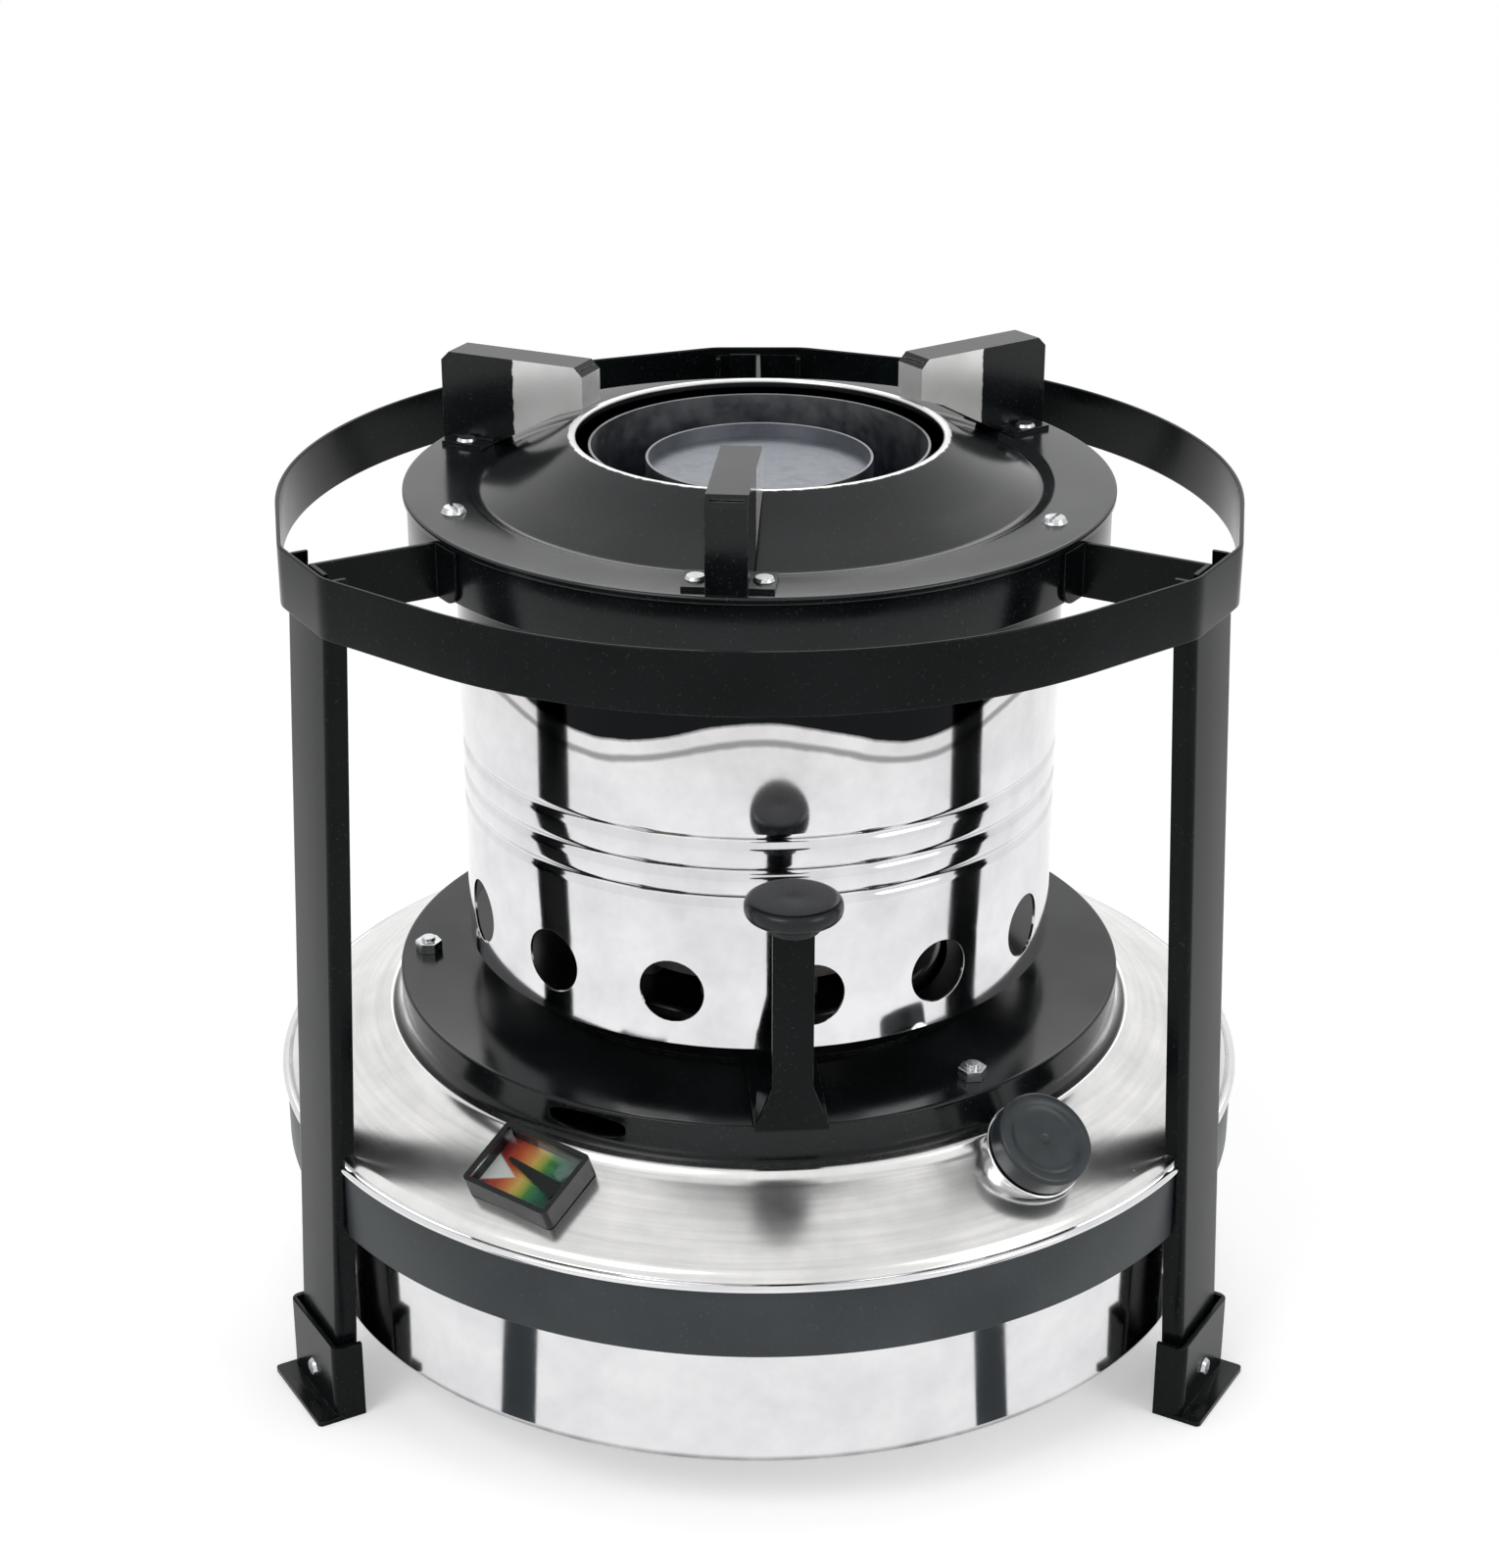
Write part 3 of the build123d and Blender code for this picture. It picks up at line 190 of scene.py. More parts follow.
# the bright steel on the mouth's lip is a painted highlight: the rim line of light along the lip
plateEnamel = enamelFinish("gloss vitreous enamel, worn to steel on the mouth's lip", {
    **bareAndHighlightEnamel, "specular": 0.4, "roughness": (0.11, 0.18), "bareAndHighlightWithin": 53.9, "bareAndHighlightAbove": 268.3,
})
supportEnamel = enamelFinish("enamel on steel channel, burnt off near the flame", {
    **bareAndHighlightEnamel, "specular": 0.3, "roughness": (0.12, 0.19), "edge": 0.6, "edgeWearAndHighlight": 0.6, "dust": 0.14,
    "bareAndHighlightWithin": 76.0, "bareAndHighlightAbove": 200.0, "flanksOnly": True,
})
deepEnamel = enamelFinish("stoved enamel, deep black", {
    **enamel, "dark": "#06090a", "light": "#0c1011", "specular": 0.11, "roughness": (0.12, 0.22),
    "peel": 1.8, "peelDepth": 0.010, "edge": 0.45, "edgeWearAndHighlight": 0.5, "dust": 0.12,
})
satinEnamel = enamelFinish("satin stoved paint, dark grey", {
    **enamel, "dark": "#23292c", "light": "#2d3437", "specular": 0.4, "roughness": (0.36, 0.46),
    "peel": 1.2, "edge": 0.4, "edgeWearAndHighlight": 0.45, "dust": 0.20,
})


# Plated steel, spun or rolled

def paintedReflectionOver(add, colour, parts, smear, setting):
    # painted reflection of the upper ring: dark above a border that waves round the drum, at a height of
    # level - wave * cos(lobes * azimuth), and made ragged by the smears, with a thin grey painted reflection
    # line that follows the border lower down
    azimuth = add("Math", (parts[1], parts[0]), operation="ARCTAN2")
    lobes = add("Math", (azimuth, setting["paintedReflectionLobes"]), **times)
    wave = add("Math", (lobes,), operation="COSINE")
    above = add("Math", (parts[2], setting["paintedReflectionFrom"] * mm), operation="SUBTRACT")
    above = add("Math", (wave, setting["paintedReflectionWave"] * mm, above), **timesPlus)
    above = add("Math", (smear, setting["paintedReflectionRagged"] * mm, above), **timesPlus)
    off = add("Math", (add("Math", (above, setting["paintedLineBelow"] * mm)),), operation="ABSOLUTE")
    line = add("MapRange", (off, setting["paintedLineHalf"] * mm, 3 * setting["paintedLineHalf"] * mm, 0.75, 0.0))
    colour = add("Mix", {0: line, 6: colour, 7: setting["paintedLineColour"]}, **rgba)
    share = add("MapRange", (above, 0.0, setting["paintedReflectionBlend"] * mm))
    return add("Mix", {0: share, 6: colour, 7: setting["paintedReflection"]}, **rgba)


def spunSteelFinish(name, setting):
    # nickel plated steel, spun and buffed: fine lines round the axis, slow waves of the sheet that bend its
    # reflections, smears that dull it and small scratches; some pieces have darker lines; the drum has a heat
    # tint and a painted reflection of the upper ring with a grey painted line below it, and the tank has a
    # painted shade along its bottom bend
    material, add, place = startFinish(name)
    parts, flat = flatPlace(add, place)
    lined = spunPlace(add, parts, flat, setting["pitch"])
    lines = add("TexNoise", {"Vector": lined, "Scale": 1.0, "Detail": 3.0})
    waves = add("TexNoise", {"Vector": place, "Scale": 1 / (setting["wave"] * mm), "Detail": 1.0})
    smear = add("TexNoise", {
        "Vector": place, "Scale": 1 / (setting["smear"] * mm), "Detail": 4.0, "Roughness": 0.6})
    stretched = add("Mapping", {"Vector": place, "Rotation": (0.5, 0.3, 0.9), "Scale": (1.0, 14.0, 14.0)})
    scratches = add("TexNoise", {
        "Vector": stretched, "Scale": 1 / (setting["scratch"] * mm), "Detail": 5.0, "Roughness": 0.7})
    scratches = add("MapRange", (scratches, 0.66, 0.74))
    smeared = add("MapRange", (smear, 0.35, 0.7))
    colour = add("Mix", {0: smeared, 6: setting["bright"], 7: setting["dull"]}, **rgba)
    if "lines" in setting:
        shade = add("MapRange", (lines, 0.35, 0.65, 0.0, setting["lines"]))
        colour = add("Mix", {0: shade, 6: colour, 7: setting["lineShade"]}, **rgba)
    # a colour by height: a heat tint on the drum, and on the tank a painted shade along its bottom bend
    if "tint" in setting:
        low, high = setting["tintFrom"] * mm, setting["tintTo"] * mm
        tintAndPaintedShade = add("MapRange", (parts[2], low, high, 0.0, setting["tintShare"]))
        tintAndPaintedShade = add("Math", (tintAndPaintedShade, smear), **times)
        colour = add("Mix", {0: tintAndPaintedShade, 6: colour, 7: setting["tint"]}, **rgba)
    # painted reflection on the drum: a dark band under the upper ring and a grey line below it
    if "paintedReflection" in setting:
        colour = paintedReflectionOver(add, colour, parts, smear, setting)
    rough = add("MapRange", (smear, 0.3, 0.75, *setting["roughness"]))
    rough = add("Math", (lines, 0.035, rough), **timesPlus)
    rough = add("Math", (scratches, 0.10, rough), **timesPlus)
    relief = add("Bump", {"Height": waves, "Distance": setting["waveDepth"] * mm})
    relief = add("Bump", {"Height": lines, "Distance": setting["lineDepth"] * mm, "Normal": relief})
    relief = add("Bump", {"Height": scratches, "Distance": -setting["scratchDepth"] * mm, "Normal": relief})
    return endFinish(material, add, {
        "Base Color": colour, "Metallic": 1.0, "Roughness": rough, "Normal": relief})


spunSteel = {"smear": 18.0, "scratch": 9.0, "scratchDepth": 0.002, "lineDepth": 0.0016}
# the tank's dark tint along its bottom bend is painted shade: the shadow under the tank that the wall would
# reflect
tankSteel = spunSteelFinish("nickel plated steel, spun and buffed", {
    **spunSteel, "bright": "#e3e3e4", "dull": "#d6d6d8", "roughness": (0.045, 0.09), "pitch": 0.55,
    "wave": 60.0, "waveDepth": 0.12, "tint": "#1c1c1d", "tintFrom": 22.2, "tintTo": 21.0, "tintShare": 1.0,
})
coverSteel = spunSteelFinish("nickel plated steel, spun and left brushed", {
    **spunSteel, "bright": "#eeedec", "dull": "#dededd", "roughness": (0.15, 0.22), "pitch": 0.9,
    "wave": 50.0, "waveDepth": 0.14, "lines": 0.24, "lineShade": "#a9a9a8",
})
# the drum's warm tint is heat colour; its dark band at the top and the grey line under it are a painted
# reflection of the upper ring
drumSteel = spunSteelFinish("nickel plated steel, rolled and buffed", {
    **spunSteel, "bright": "#e0e0e2", "dull": "#cfcfd2", "roughness": (0.04, 0.09), "pitch": 0.6,
    "wave": 38.0, "waveDepth": 0.15, "tint": "#b59a72", "tintFrom": 190.0, "tintTo": 262.0, "tintShare": 0.55,
    "paintedReflection": "#18191b", "paintedReflectionFrom": 212.0, "paintedReflectionWave": 4.4, "paintedReflectionLobes": 6, "paintedReflectionRagged": 2.0,
    "paintedReflectionBlend": 1.2, "paintedLineColour": "#6f6f72", "paintedLineBelow": 4.6, "paintedLineHalf": 0.5,
})


# Sheet steel and wire

def sheetSteelFinish(name, setting):
    # plain or plated metal: crystals of the plating that differ in tone, handling marks that cloud it, and
    # colours that the heat left, by height
    material, add, place = startFinish(name)
    crystal = add("TexVoronoi", {"Vector": place, "Scale": 1 / (setting["crystal"] * mm)}, "Color")
    tone = add("SeparateColor", (crystal,))
    smear = add("TexNoise", {
        "Vector": place, "Scale": 1 / (setting["smear"] * mm), "Detail": 5.0, "Roughness": 0.65})
    fine = add("TexNoise", {"Vector": place, "Scale": 1 / (setting["grain"] * mm), "Detail": 3.0})
    share = add("Math", (tone, setting["spangle"]), **times)
    share = add("Math", (smear, 0.7, share), **timesPlus)
    colour = add("Mix", {0: share, 6: setting["bright"], 7: setting["dull"]}, **rgba)
    if "heat" in setting:
        low, high = setting["heatRange"]
        height = add("SeparateXYZ", (place,), 2)
        wander = add("Math", (smear, setting["heatWander"] * mm, height), **timesPlus)
        ramp = add("ValToRGB", (add("MapRange", (wander, low * mm, high * mm)),))
        fillRamp(ramp, zip(np.linspace(0, 1, len(setting["heat"])).tolist(), setting["heat"]))
        colour = add("Mix", {0: setting["heatShare"], 6: colour, 7: ramp}, **rgba)
    rough = add("MapRange", (smear, 0.3, 0.7, *setting["roughness"]))
    rough = add("Math", (tone, 0.06, rough), **timesPlus)
    relief = add("Bump", {"Height": fine, "Distance": setting["grainDepth"] * mm})
    relief = add("Bump", {"Height": smear, "Distance": setting["smearDepth"] * mm, "Normal": relief})
    return endFinish(material, add, {
        "Base Color": colour, "Metallic": 1.0, "Roughness": rough, "Normal": relief})


sheetSteel = {"smear": 9.0, "smearDepth": 0.05, "grain": 0.6, "grainDepth": 0.006}
zincSteel = sheetSteelFinish("zinc plated steel, bright dipped", {
    **sheetSteel, "bright": "#dcdedf", "dull": "#a5a8aa", "crystal": 1.6, "spangle": 0.35,
    "roughness": (0.16, 0.30),
})
burnerSteel = sheetSteelFinish("bare steel sheet, coloured by the flame", {
    **sheetSteel, "bright": "#a9a5a0", "dull": "#5f5a55", "crystal": 2.2, "spangle": 0.15,
    "roughness": (0.30, 0.50),
    "heat": ("#6e6a66", "#8d7a5c", "#7a5240", "#4c4358", "#4a5f7c", "#8a8f92"),
    "heatRange": (150.0, 290.0), "heatShare": 0.55, "heatWander": 30.0,
})
brassWire = sheetSteelFinish("brass wire, drawn", {
    **sheetSteel, "bright": "#d9b36a", "dull": "#a98347", "crystal": 2.0, "spangle": 0.1,
    "roughness": (0.22, 0.34),
})


# Resin, plastic and rubber

def mouldedFinish(name, setting):
    # moulded resin, plastic or rubber: a fine grain, faint flow marks and edges worn paler by handling, which
    # also stand in as a painted highlight along the edges
    material, add, place = startFinish(name)
    grain = add("TexNoise", {"Vector": place, "Scale": 1 / (setting["grain"] * mm), "Detail": 3.0})
    flow = add("TexNoise", {
        "Vector": place, "Scale": 1 / (setting["flow"] * mm), "Detail": 3.0, "Roughness": 0.6})
    flowed = add("MapRange", (flow, 0.35, 0.65))
    colour = add("Mix", {0: flowed, 6: setting["dark"], 7: setting["light"]}, **rgba)
    # paler edges: wear, and also a painted highlight along them
    colour = wornAndHighlitEdges(add, place, colour, setting)
    rough = add("MapRange", (flow, 0.3, 0.7, *setting["roughness"]))
    return endFinish(material, add, {
        "Base Color": colour, "IOR": setting["ior"], "Specular IOR Level": setting["specular"],
        "Roughness": add("Math", (grain, 0.06, rough), **timesPlus),
        "Normal": add("Bump", {"Height": grain, "Distance": setting["grainDepth"] * mm})})


moulded = {"flow": 7.0, "edge": 0.5}
knobResin = mouldedFinish("phenolic resin, compression moulded, black", {
    **moulded, "dark": "#0b0e10", "light": "#12171a", "ior": 1.6, "specular": 0.25, "roughness": (0.20, 0.28),
    "grain": 0.5, "grainDepth": 0.006, "edgeWearAndHighlight": 0.5, "wornAndHighlightColour": "#3d4143",
})
capPlastic = mouldedFinish("nylon, injection moulded, dark grey", {
    **moulded, "dark": "#1f2528", "light": "#293033", "ior": 1.53, "specular": 0.4, "roughness": (0.27, 0.36),
    "grain": 0.45, "grainDepth": 0.010, "edgeWearAndHighlight": 0.5, "wornAndHighlightColour": "#586064",
})
gaugePlastic = mouldedFinish("polystyrene, injection moulded, black", {
    **moulded, "dark": "#07090a", "light": "#0e1112", "ior": 1.59, "specular": 0.3, "roughness": (0.22, 0.32),
    "grain": 0.4, "grainDepth": 0.006, "edgeWearAndHighlight": 0.35, "wornAndHighlightColour": "#34383a",
})
gasketRubber = mouldedFinish("nitrile rubber, cut from sheet", {
    **moulded, "dark": "#141414", "light": "#1f1f1e", "ior": 1.52, "specular": 0.3, "roughness": (0.62, 0.74),
    "grain": 0.7, "grainDepth": 0.03, "edgeWearAndHighlight": 0.3, "wornAndHighlightColour": "#3a3937",
})


# Cork, cotton, card and acrylic

def corkFinish(setting):
    # agglomerated cork: grains in two browns pressed into a dark binder that lies a little lower, matt
    material, add, place = startFinish("agglomerated cork")
    tone = add("TexVoronoi", {"Vector": place, "Scale": 1 / (setting["grain"] * mm)}, "Color")
    gap = add("MapRange", (tone.node.outputs["Distance"], 0.45, 0.75, 0.0, 0.8))
    tone = add("SeparateColor", (tone,))
    colour = add("Mix", {0: tone, 6: setting["light"], 7: setting["dark"]}, **rgba)
    colour = add("Mix", {0: gap, 6: colour, 7: setting["binder"]}, **rgba)
    return endFinish(material, add, {
        "Base Color": colour, "IOR": 1.45, "Specular IOR Level": 0.2,
        "Roughness": add("MapRange", (tone, 0.0, 1.0, *setting["roughness"])),
        "Normal": add("Bump", {"Height": gap, "Distance": -setting["binderDepth"] * mm})})


def wickFinish(setting):
    # braided cotton: two sets of strands that cross, cream below and charred in the last few millimetres,
    # with a frayed border; a wave texture repeats every 0.314 of its own units
    material, add, place = startFinish("braided cotton wick")
    strands = []
    for turn in (setting["lay"], -setting["lay"]):
        laid = add("Mapping", {"Vector": place, "Rotation": (turn, turn, 0.0)})
        wave = {"Vector": laid, "Scale": 0.314 / (setting["strand"] * mm), "Distortion": 1.2}
        strands.append(add("TexWave", wave, "Fac", bands_direction="Z"))
    weave = add("Math", strands, operation="MAXIMUM")
    frayed = add("TexNoise", {"Vector": place, "Scale": 1 / (setting["fray"] * mm), "Detail": 4.0})
    height = add("Math", (frayed, setting["frayReach"] * mm, add("SeparateXYZ", (place,), 2)), **timesPlus)
    char = add("MapRange", (height, setting["charFrom"] * mm, setting["charTo"] * mm))
    cotton = add("Mix", {0: weave, 6: setting["dark"], 7: setting["light"]}, **rgba)
    return endFinish(material, add, {
        "Base Color": add("Mix", {0: char, 6: cotton, 7: setting["char"]}, **rgba),
        "IOR": 1.45, "Specular IOR Level": 0.2, "Sheen Weight": 0.25,
        "Roughness": add("MapRange", (weave, 0.0, 1.0, *setting["roughness"])),
        "Normal": add("Bump", {"Height": weave, "Distance": setting["strandDepth"] * mm})})


def dialFinish(setting):
    # printed card: bands from red over orange and yellow to green, with a fine screen, and a white wedge at
    # the empty end, where |v - middle| is under its half width, which falls to nothing along u
    material, add, place = startFinish("printed card, gloss varnish")
    u, v = add("SeparateXYZ", (add("UVMap", uv_map="dialPlace"),)).node.outputs[:2]
    speck = add("TexNoise", {"Vector": place, "Scale": 1 / (setting["screen"] * mm)})
    ramp = add("ValToRGB", (add("Math", (speck, 0.02, u), **timesPlus),))
    fillRamp(ramp, setting["bands"])
    half = add("MapRange", (u, 0.0, setting["wedgeLength"], setting["wedgeHalf"], 0.0))
    off = add("Math", (add("Math", (v, setting["wedgeMiddle"]), operation="SUBTRACT"),), operation="ABSOLUTE")
    wedge = add("MapRange", (add("Math", (half, off), operation="SUBTRACT"), -0.01, 0.03))
    return endFinish(material, add, {
        "Base Color": add("Mix", {0: wedge, 6: ramp, 7: setting["white"]}, **rgba),
        "IOR": setting["ior"], "Roughness": add("MapRange", (speck, 0.3, 0.7, *setting["roughness"])),
        "Normal": add("Bump", {"Height": speck, "Distance": setting["screenDepth"] * mm})})


def windowFinish(setting):
    # clear acrylic: smooth, with a faint dust that shows as roughness
    material, add, place = startFinish("clear acrylic sheet")
    dust = add("TexNoise", {"Vector": place, "Scale": 1 / (setting["dust"] * mm), "Detail": 4.0})
    sag = add("TexNoise", {"Vector": place, "Scale": 1 / (setting["sag"] * mm)})
    return endFinish(material, add, {
        "Base Color": setting["colour"], "IOR": 1.49, "Transmission Weight": 1.0,
        "Roughness": add("MapRange", (dust, 0.45, 0.75, 0.0, 0.10)),
        "Normal": add("Bump", {"Height": sag, "Distance": setting["sagDepth"] * mm})})


corkFloat = corkFinish({
    "grain": 2.0, "light": "#a67c4d", "dark": "#7c5733", "binder": "#3c2817", "binderDepth": 0.15,
    "roughness": (0.75, 0.9),
})
cottonWick = wickFinish({
    "strand": 1.3, "lay": 0.6, "strandDepth": 0.25, "dark": "#9c8f75", "light": "#ddd2b8", "char": "#17120e",
    "charFrom": 127.5, "charTo": 131.5, "fray": 1.6, "frayReach": 4.0, "roughness": (0.95, 0.82),
})
dialCard = dialFinish({
    "bands": [(0.0, "#7c2430"), (0.10, "#a8362e"), (0.22, "#d4502b"), (0.34, "#ee8a4a"), (0.44, "#f0bd62"),
              (0.52, "#bdbb48"), (0.60, "#4b9142"), (0.72, "#1a6e4e"), (0.86, "#144f45"), (1.0, "#0e3833")],
    "wedgeMiddle": 0.40, "wedgeHalf": 0.27, "wedgeLength": 0.36, "white": "#f4ecec",
    "screen": 0.5, "screenDepth": 0.004, "ior": 1.5, "roughness": (0.25, 0.38),
})
clearWindow = windowFinish({"colour": "#f4fbfa", "dust": 1.4, "sag": 9.0, "sagDepth": 0.02})
print("finishes made")


# Shapes. Points nearer than the seam or the gap, in metres, are merged, faces that turn by less than the flat
# angle, in radians, are joined, and the other angles, in degrees, say which edges are sharp or rounded

meshing = {"seam": 1e-7, "gap": 2e-6, "flat": 0.004, "shade": 34.0, "copyEdge": 32.0, "sheetEdge": 50.0}


def softCorners(corners, reach, steps=4):
    # each corner c of a closed outline becomes a curve from a to b, the points of its two sides that are the
    # reach away from it: (1 - t)^2 a + 2t(1 - t) c + t^2 b
    corners = np.asarray(corners, float)
    reach = np.broadcast_to(np.asarray(reach, float), len(corners))[:, None]
    ends = []
    for side in (1, -1):
        way = np.roll(corners, side, axis=0) - corners
        length = np.linalg.norm(way, axis=1, keepdims=True)
        ends.append((corners + way / length * np.minimum(reach, length * 0.49))[:, None])
    t = np.linspace(0, 1, steps + 1)[None, :, None]
    curve = (1 - t) ** 2 * ends[0] + 2 * t * (1 - t) * corners[:, None] + t ** 2 * ends[1]
    return curve.reshape(-1, 2)


def roundedLine(corners, reach, steps):
    # an open line with soft corners: its two ends stay where they are
    curve = softCorners(corners, reach, steps)
    each = steps + 1
    return np.vstack([corners[:1], curve[each:-each], corners[-1:]])


def sheetSection(line, bends, sheet, steps=4):
    # a line and, mitred, the same line a sheet's thickness to its right: each corner moves by the sum of its
    # two normals over one plus their product; both sides bend alike
    line = np.asarray(line, float)
    way = np.diff(line, axis=0)
    normal = np.stack([way[:, 1], -way[:, 0]], axis=1) / np.linalg.norm(way, axis=1, keepdims=True)
    before = np.vstack([normal[:1], normal])
    after = np.vstack([normal, normal[-1:]])
    other = line + (before + after) * sheet / (1 + (before * after).sum(axis=1, keepdims=True))
    return softCorners(np.vstack([line, other[::-1]]), bends + bends[::-1], steps)


def stripSection(inner, outer, bottom, top, edge, steps=3):
    # the section of a strip that stands on edge, with soft corners
    return softCorners([(inner, bottom), (outer, bottom), (outer, top), (inner, top)], edge, steps)


def gridFaces(rows, columns, closedRows, closedColumns):
    # the quads of a grid of points that are numbered along its columns first
    i = np.arange(rows if closedRows else rows - 1)[:, None]
    j = np.arange(columns if closedColumns else columns - 1)[None, :]
    up, along = (i + 1) % rows, (j + 1) % columns
    corners = [i * columns + j, i * columns + along, up * columns + along, up * columns + j]
    return np.stack(np.broadcast_arrays(*corners), axis=-1).reshape(-1, 4)


def around(reach, turn, height):
    # points from a radius r, an azimuth a in radians and a height z: (r cos a, r sin a, z)
    return np.stack(np.broadcast_arrays(reach * np.cos(turn), reach * np.sin(turn), height), axis=-1)


def turned(line, turn):
    # a line of radii and heights at every azimuth, row by row
    line = np.asarray(line, float)
    return around(line[:, :1], turn, line[:, 1:]).reshape(-1, 3)


def placed(points, origin, xWay, normal):
    # local points carried to a place: origin + x * xWay + y * (normal x xWay) + z * normal
    xWay, normal = np.asarray(xWay, float), np.asarray(normal, float)
    return np.asarray(origin, float) + points @ np.stack([xWay, np.cross(normal, xWay), normal])


def repeated(copies, faces):
    # copies of a grid, a row of points for each, whose faces are numbered on from one to the next
    starts = np.arange(len(copies)) * copies.shape[1]
    return copies.reshape(-1, 3), (starts[:, None, None] + faces[None]).reshape(-1, 4)


def joined(parts):
    # several grids as one, with their faces numbered on
    starts = np.cumsum([0] + [len(points) for points, faces in parts])
    faces = [faces + start for (points, faces), start in zip(parts, starts)]
    return np.concatenate([points for points, faces in parts]), np.concatenate(faces)


def linked(name, data):
    # a new object in the scene
    thing = bpy.data.objects.new(name, data)
    bpy.context.scene.collection.objects.link(thing)
    return thing


def finishPiece(name, mesh, material, body, stands, sharp=meshing["shade"]):
    # shades a mesh, gives it its finish and body, and hides the CAD nodes that it stands for
    mesh.polygons.foreach_set("use_smooth", np.ones(len(mesh.polygons), bool))
    mesh.set_sharp_from_angle(angle=math.radians(sharp))
    mesh.materials.clear()
    mesh.materials.append(material)
    piece = linked(name, mesh)
    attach(piece, body)
    if stands:
        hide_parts(*stands)
    return piece


def roundEdges(piece, width, limit):
    # rounds the edges that turn by more than a limit in degrees
    rounded = piece.modifiers.new("rounded edges", "BEVEL")
    rounded.width = width * mm
    rounded.segments = 2
    rounded.limit_method = "ANGLE"
    rounded.angle_limit = math.radians(limit)
    rounded.harden_normals = True


def meshOf(name, points, faces, gap=meshing["seam"], shell=True, uv=None):
    # a mesh from arrays, with its poles and seams merged; a closed shell has its faces turned outwards
    mesh = bpy.data.meshes.new(name)
    mesh.from_pydata((np.asarray(points) * mm).tolist(), [], np.asarray(faces).tolist())
    if uv is not None:
        layer = mesh.uv_layers.new(name="dialPlace")
        layer.data.foreach_set("uv", uv[np.asarray(faces).reshape(-1)].astype(np.float32).reshape(-1))
    shape = bmesh.new()
    shape.from_mesh(mesh)
    bmesh.ops.remove_doubles(shape, verts=shape.verts, dist=gap)
    if shell:
        bmesh.ops.dissolve_degenerate(shape, dist=gap, edges=shape.edges)
        bmesh.ops.recalc_face_normals(shape, faces=shape.faces)
    shape.to_mesh(mesh)
    shape.free()
    return mesh


def spunPiece(name, outline, columns, material, body, stands, where=None):
    # a closed outline, taken anticlockwise and turned about the stove's axis or about one that is placed
    outline = np.asarray(outline, float)
    x, y = outline.T
    if (x * np.roll(y, -1) - np.roll(x, -1) * y).sum() < 0:
        outline = outline[::-1]
    points = turned(outline, np.linspace(0, 2 * np.pi, columns, endpoint=False) + np.pi / 2)
    if where is not None:
        points = placed(points, *where)
    mesh = meshOf(name, points, gridFaces(len(outline), columns, True, True))
    finishPiece(name, mesh, material, body, stands)


def finishedCopy(node, material, slotName, body, edge):
    # a CAD node's own shape: its triangles merged, those that lie flat joined, and its sharp edges rounded
    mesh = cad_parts[node].data.copy()
    mesh.name = node + "_made"
    shape = bmesh.new()
    shape.from_mesh(mesh)
    bmesh.ops.remove_doubles(shape, verts=shape.verts, dist=meshing["gap"])
    flat = [e for e in shape.edges if len(e.link_faces) == 2 and e.calc_face_angle(1.0) < meshing["flat"]]
    bmesh.ops.dissolve_edges(shape, edges=flat, use_verts=False, use_face_split=False)
    shape.to_mesh(mesh)
    shape.free()
    mesh.validate()
    piece = finishPiece(node + "_made", mesh, material, body, [node])
    if edge:
        roundEdges(piece, edge, meshing["copyEdge"])


# Tank

slope = {"top": (113.0, 95.0), "foot": (140.0, 82.7)}
tank = {
    "sheet": 0.8, "columns": 320,
    "wall": [(0, 23.5), (129.0, 23.5), (131.0, 19.5), (134.7, 19.5), (135.7, 21.0), (135.7, 78.5),
             (142.9, 78.5), (143.6, 79.2), (143.6, 80.2), (142.9, 80.9), (141.6, 80.9)],
    "wallBends": [0, 2.0, 1.4, 0.6, 1.0, 1.3, 0.5, 0.5, 0.5, 0.5, 0.2],
    "cover": [(57.0, 82.0), (77.0, 82.0), (80.5, 96.0), (108.2, 96.0), (110.6, 97.4), slope["top"],
              slope["foot"], (141.2, 80.1), (142.5, 80.1)],
    "coverBends": [0.3, 2.0, 2.0, 1.6, 1.4, 2.2, 1.4, 0.7, 0.2],
}
spunPiece("tank_wall", sheetSection(tank["wall"], tank["wallBends"], -tank["sheet"]), tank["columns"],
          tankSteel, "stove", ["tank_shell"])
spunPiece("tank_cover", sheetSection(tank["cover"], tank["coverBends"], tank["sheet"]), tank["columns"],
          coverSteel, "stove", ["tank_top"])
print("tank made")


# Rings

rings = {
    "edge": 0.45, "lower": (141.2, 142.4, 58.3, 78.5), "lowerColumns": 320,
    "collar": (97.7, 98.9, 238.7, 255.2), "collarColumns": 240,
    "sheet": 1.2, "bottom": 238.0, "top": 255.0, "radius": 135.0, "flatReach": 139.04, "flatHalf": 14.5,
    "blend": 20.4, "soften": 2.0, "columns": 1440, "legs": 3, "firstLeg": 90.0,
}
spunPiece("band_lower", stripSection(*rings["lower"], rings["edge"]), rings["lowerColumns"],
          satinEnamel, "stove", ["lower_ring"])
spunPiece("burner_collar", stripSection(*rings["collar"], rings["edge"]), rings["collarColumns"],
          glossEnamel, "stove", ["collar"])


